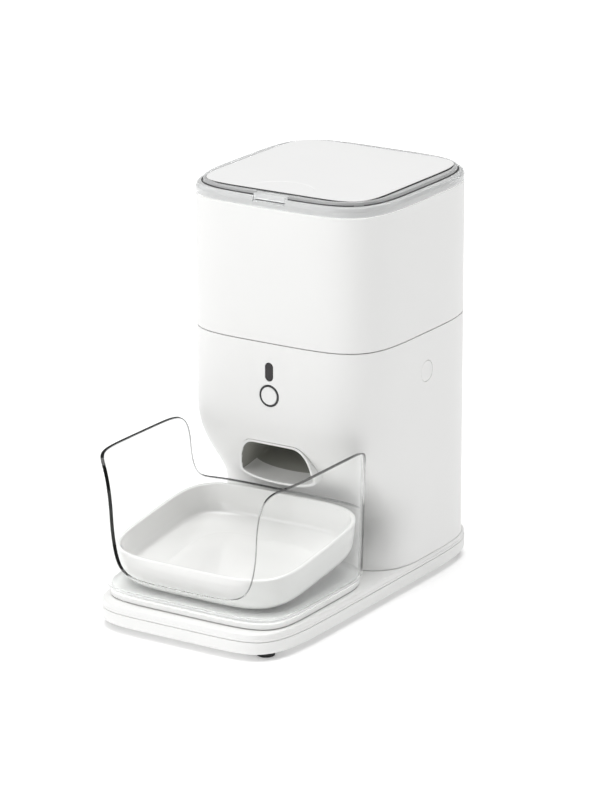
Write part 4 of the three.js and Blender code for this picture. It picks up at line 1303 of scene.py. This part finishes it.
def build_camera():
    level = math.cos(ELEVATION)
    back = Vector((math.sin(AZIMUTH) * level, -math.cos(AZIMUTH) * level, math.sin(ELEVATION)))
    right = Vector((math.cos(AZIMUTH), math.sin(AZIMUTH), 0))
    up = back.cross(right)
    spot = CAMERA_CENTRE + back * DISTANCE
    aim = CAMERA_CENTRE - right * AIM_RIGHT - up * AIM_UP
    data = bpy.data.cameras.new("camera")
    data.lens = FOCAL
    data.sensor_width = 36
    data.clip_end = 100
    camera = bpy.data.objects.new("camera", data)
    bpy.context.scene.collection.objects.link(camera)
    away = (spot - aim).normalized()
    side = up.cross(away).normalized()
    turned = Matrix((side, away.cross(side), away)).transposed()
    camera.matrix_world = Matrix.Translation(spot) @ turned.to_4x4()
    bpy.context.scene.camera = camera


def area_light(name, place, aim, size, power):
    data = bpy.data.lights.new(name, "AREA")
    data.shape = "RECTANGLE"
    data.size, data.size_y = size
    data.energy = power
    light = bpy.data.objects.new(name, data)
    light.location = place
    light.rotation_mode = "QUATERNION"
    light.rotation_quaternion = (Vector(place) - Vector(aim)).to_track_quat("Z", "Y")
    bpy.context.scene.collection.objects.link(light)


def build_studio():
    bm = bmesh.new()
    bmesh.ops.create_grid(bm, x_segments=2, y_segments=2, size=30)
    floor = from_bmesh("studio_floor", bm)
    material, tree, shader, place = empty_material("studio_paper")
    tone = noise(tree, place, 3.0)
    feed(tree, shader, {
        "Base Color": between(tree, tone, (0.915, 0.915, 0.915), (0.925, 0.925, 0.925)), "Roughness": 0.9,
        "Emission Color": (1, 1, 1, 1), "Emission Strength": 0.2,
    })
    floor.data.materials.append(material)
    world = bpy.data.worlds.new("studio")
    world.use_nodes = True
    world.node_tree.nodes["Background"].inputs[0].default_value = (1, 1, 1, 1)
    world.node_tree.nodes["Background"].inputs[1].default_value = 0.26
    bpy.context.scene.world = world
    overhead = bpy.data.lights.new("overhead", "SUN")
    overhead.energy = 2.4
    overhead.angle = math.radians(55)
    bpy.context.scene.collection.objects.link(bpy.data.objects.new("overhead", overhead))
    area_light("key", (-1.3, -1.9, 1.3), (0, 0, 0.15), (1.6, 1.6), 17)
    area_light("front_fill", (-0.4, -2.7, 0.4), (0, 0, 0.1), (1.2, 0.8), 5)
    area_light("side_fill", (2.1, 1.5, 0.7), (0, 0, 0.2), (1.2, 1.2), 4)
    view = bpy.context.scene.view_settings
    view.view_transform = "Standard"


build_camera()
build_studio()
build_base()
build_feet()
build_fasteners()
build_platform()
build_guard()
build_bowl()
build_tower()
build_controls()
build_dispenser()
build_hopper()
build_lid()
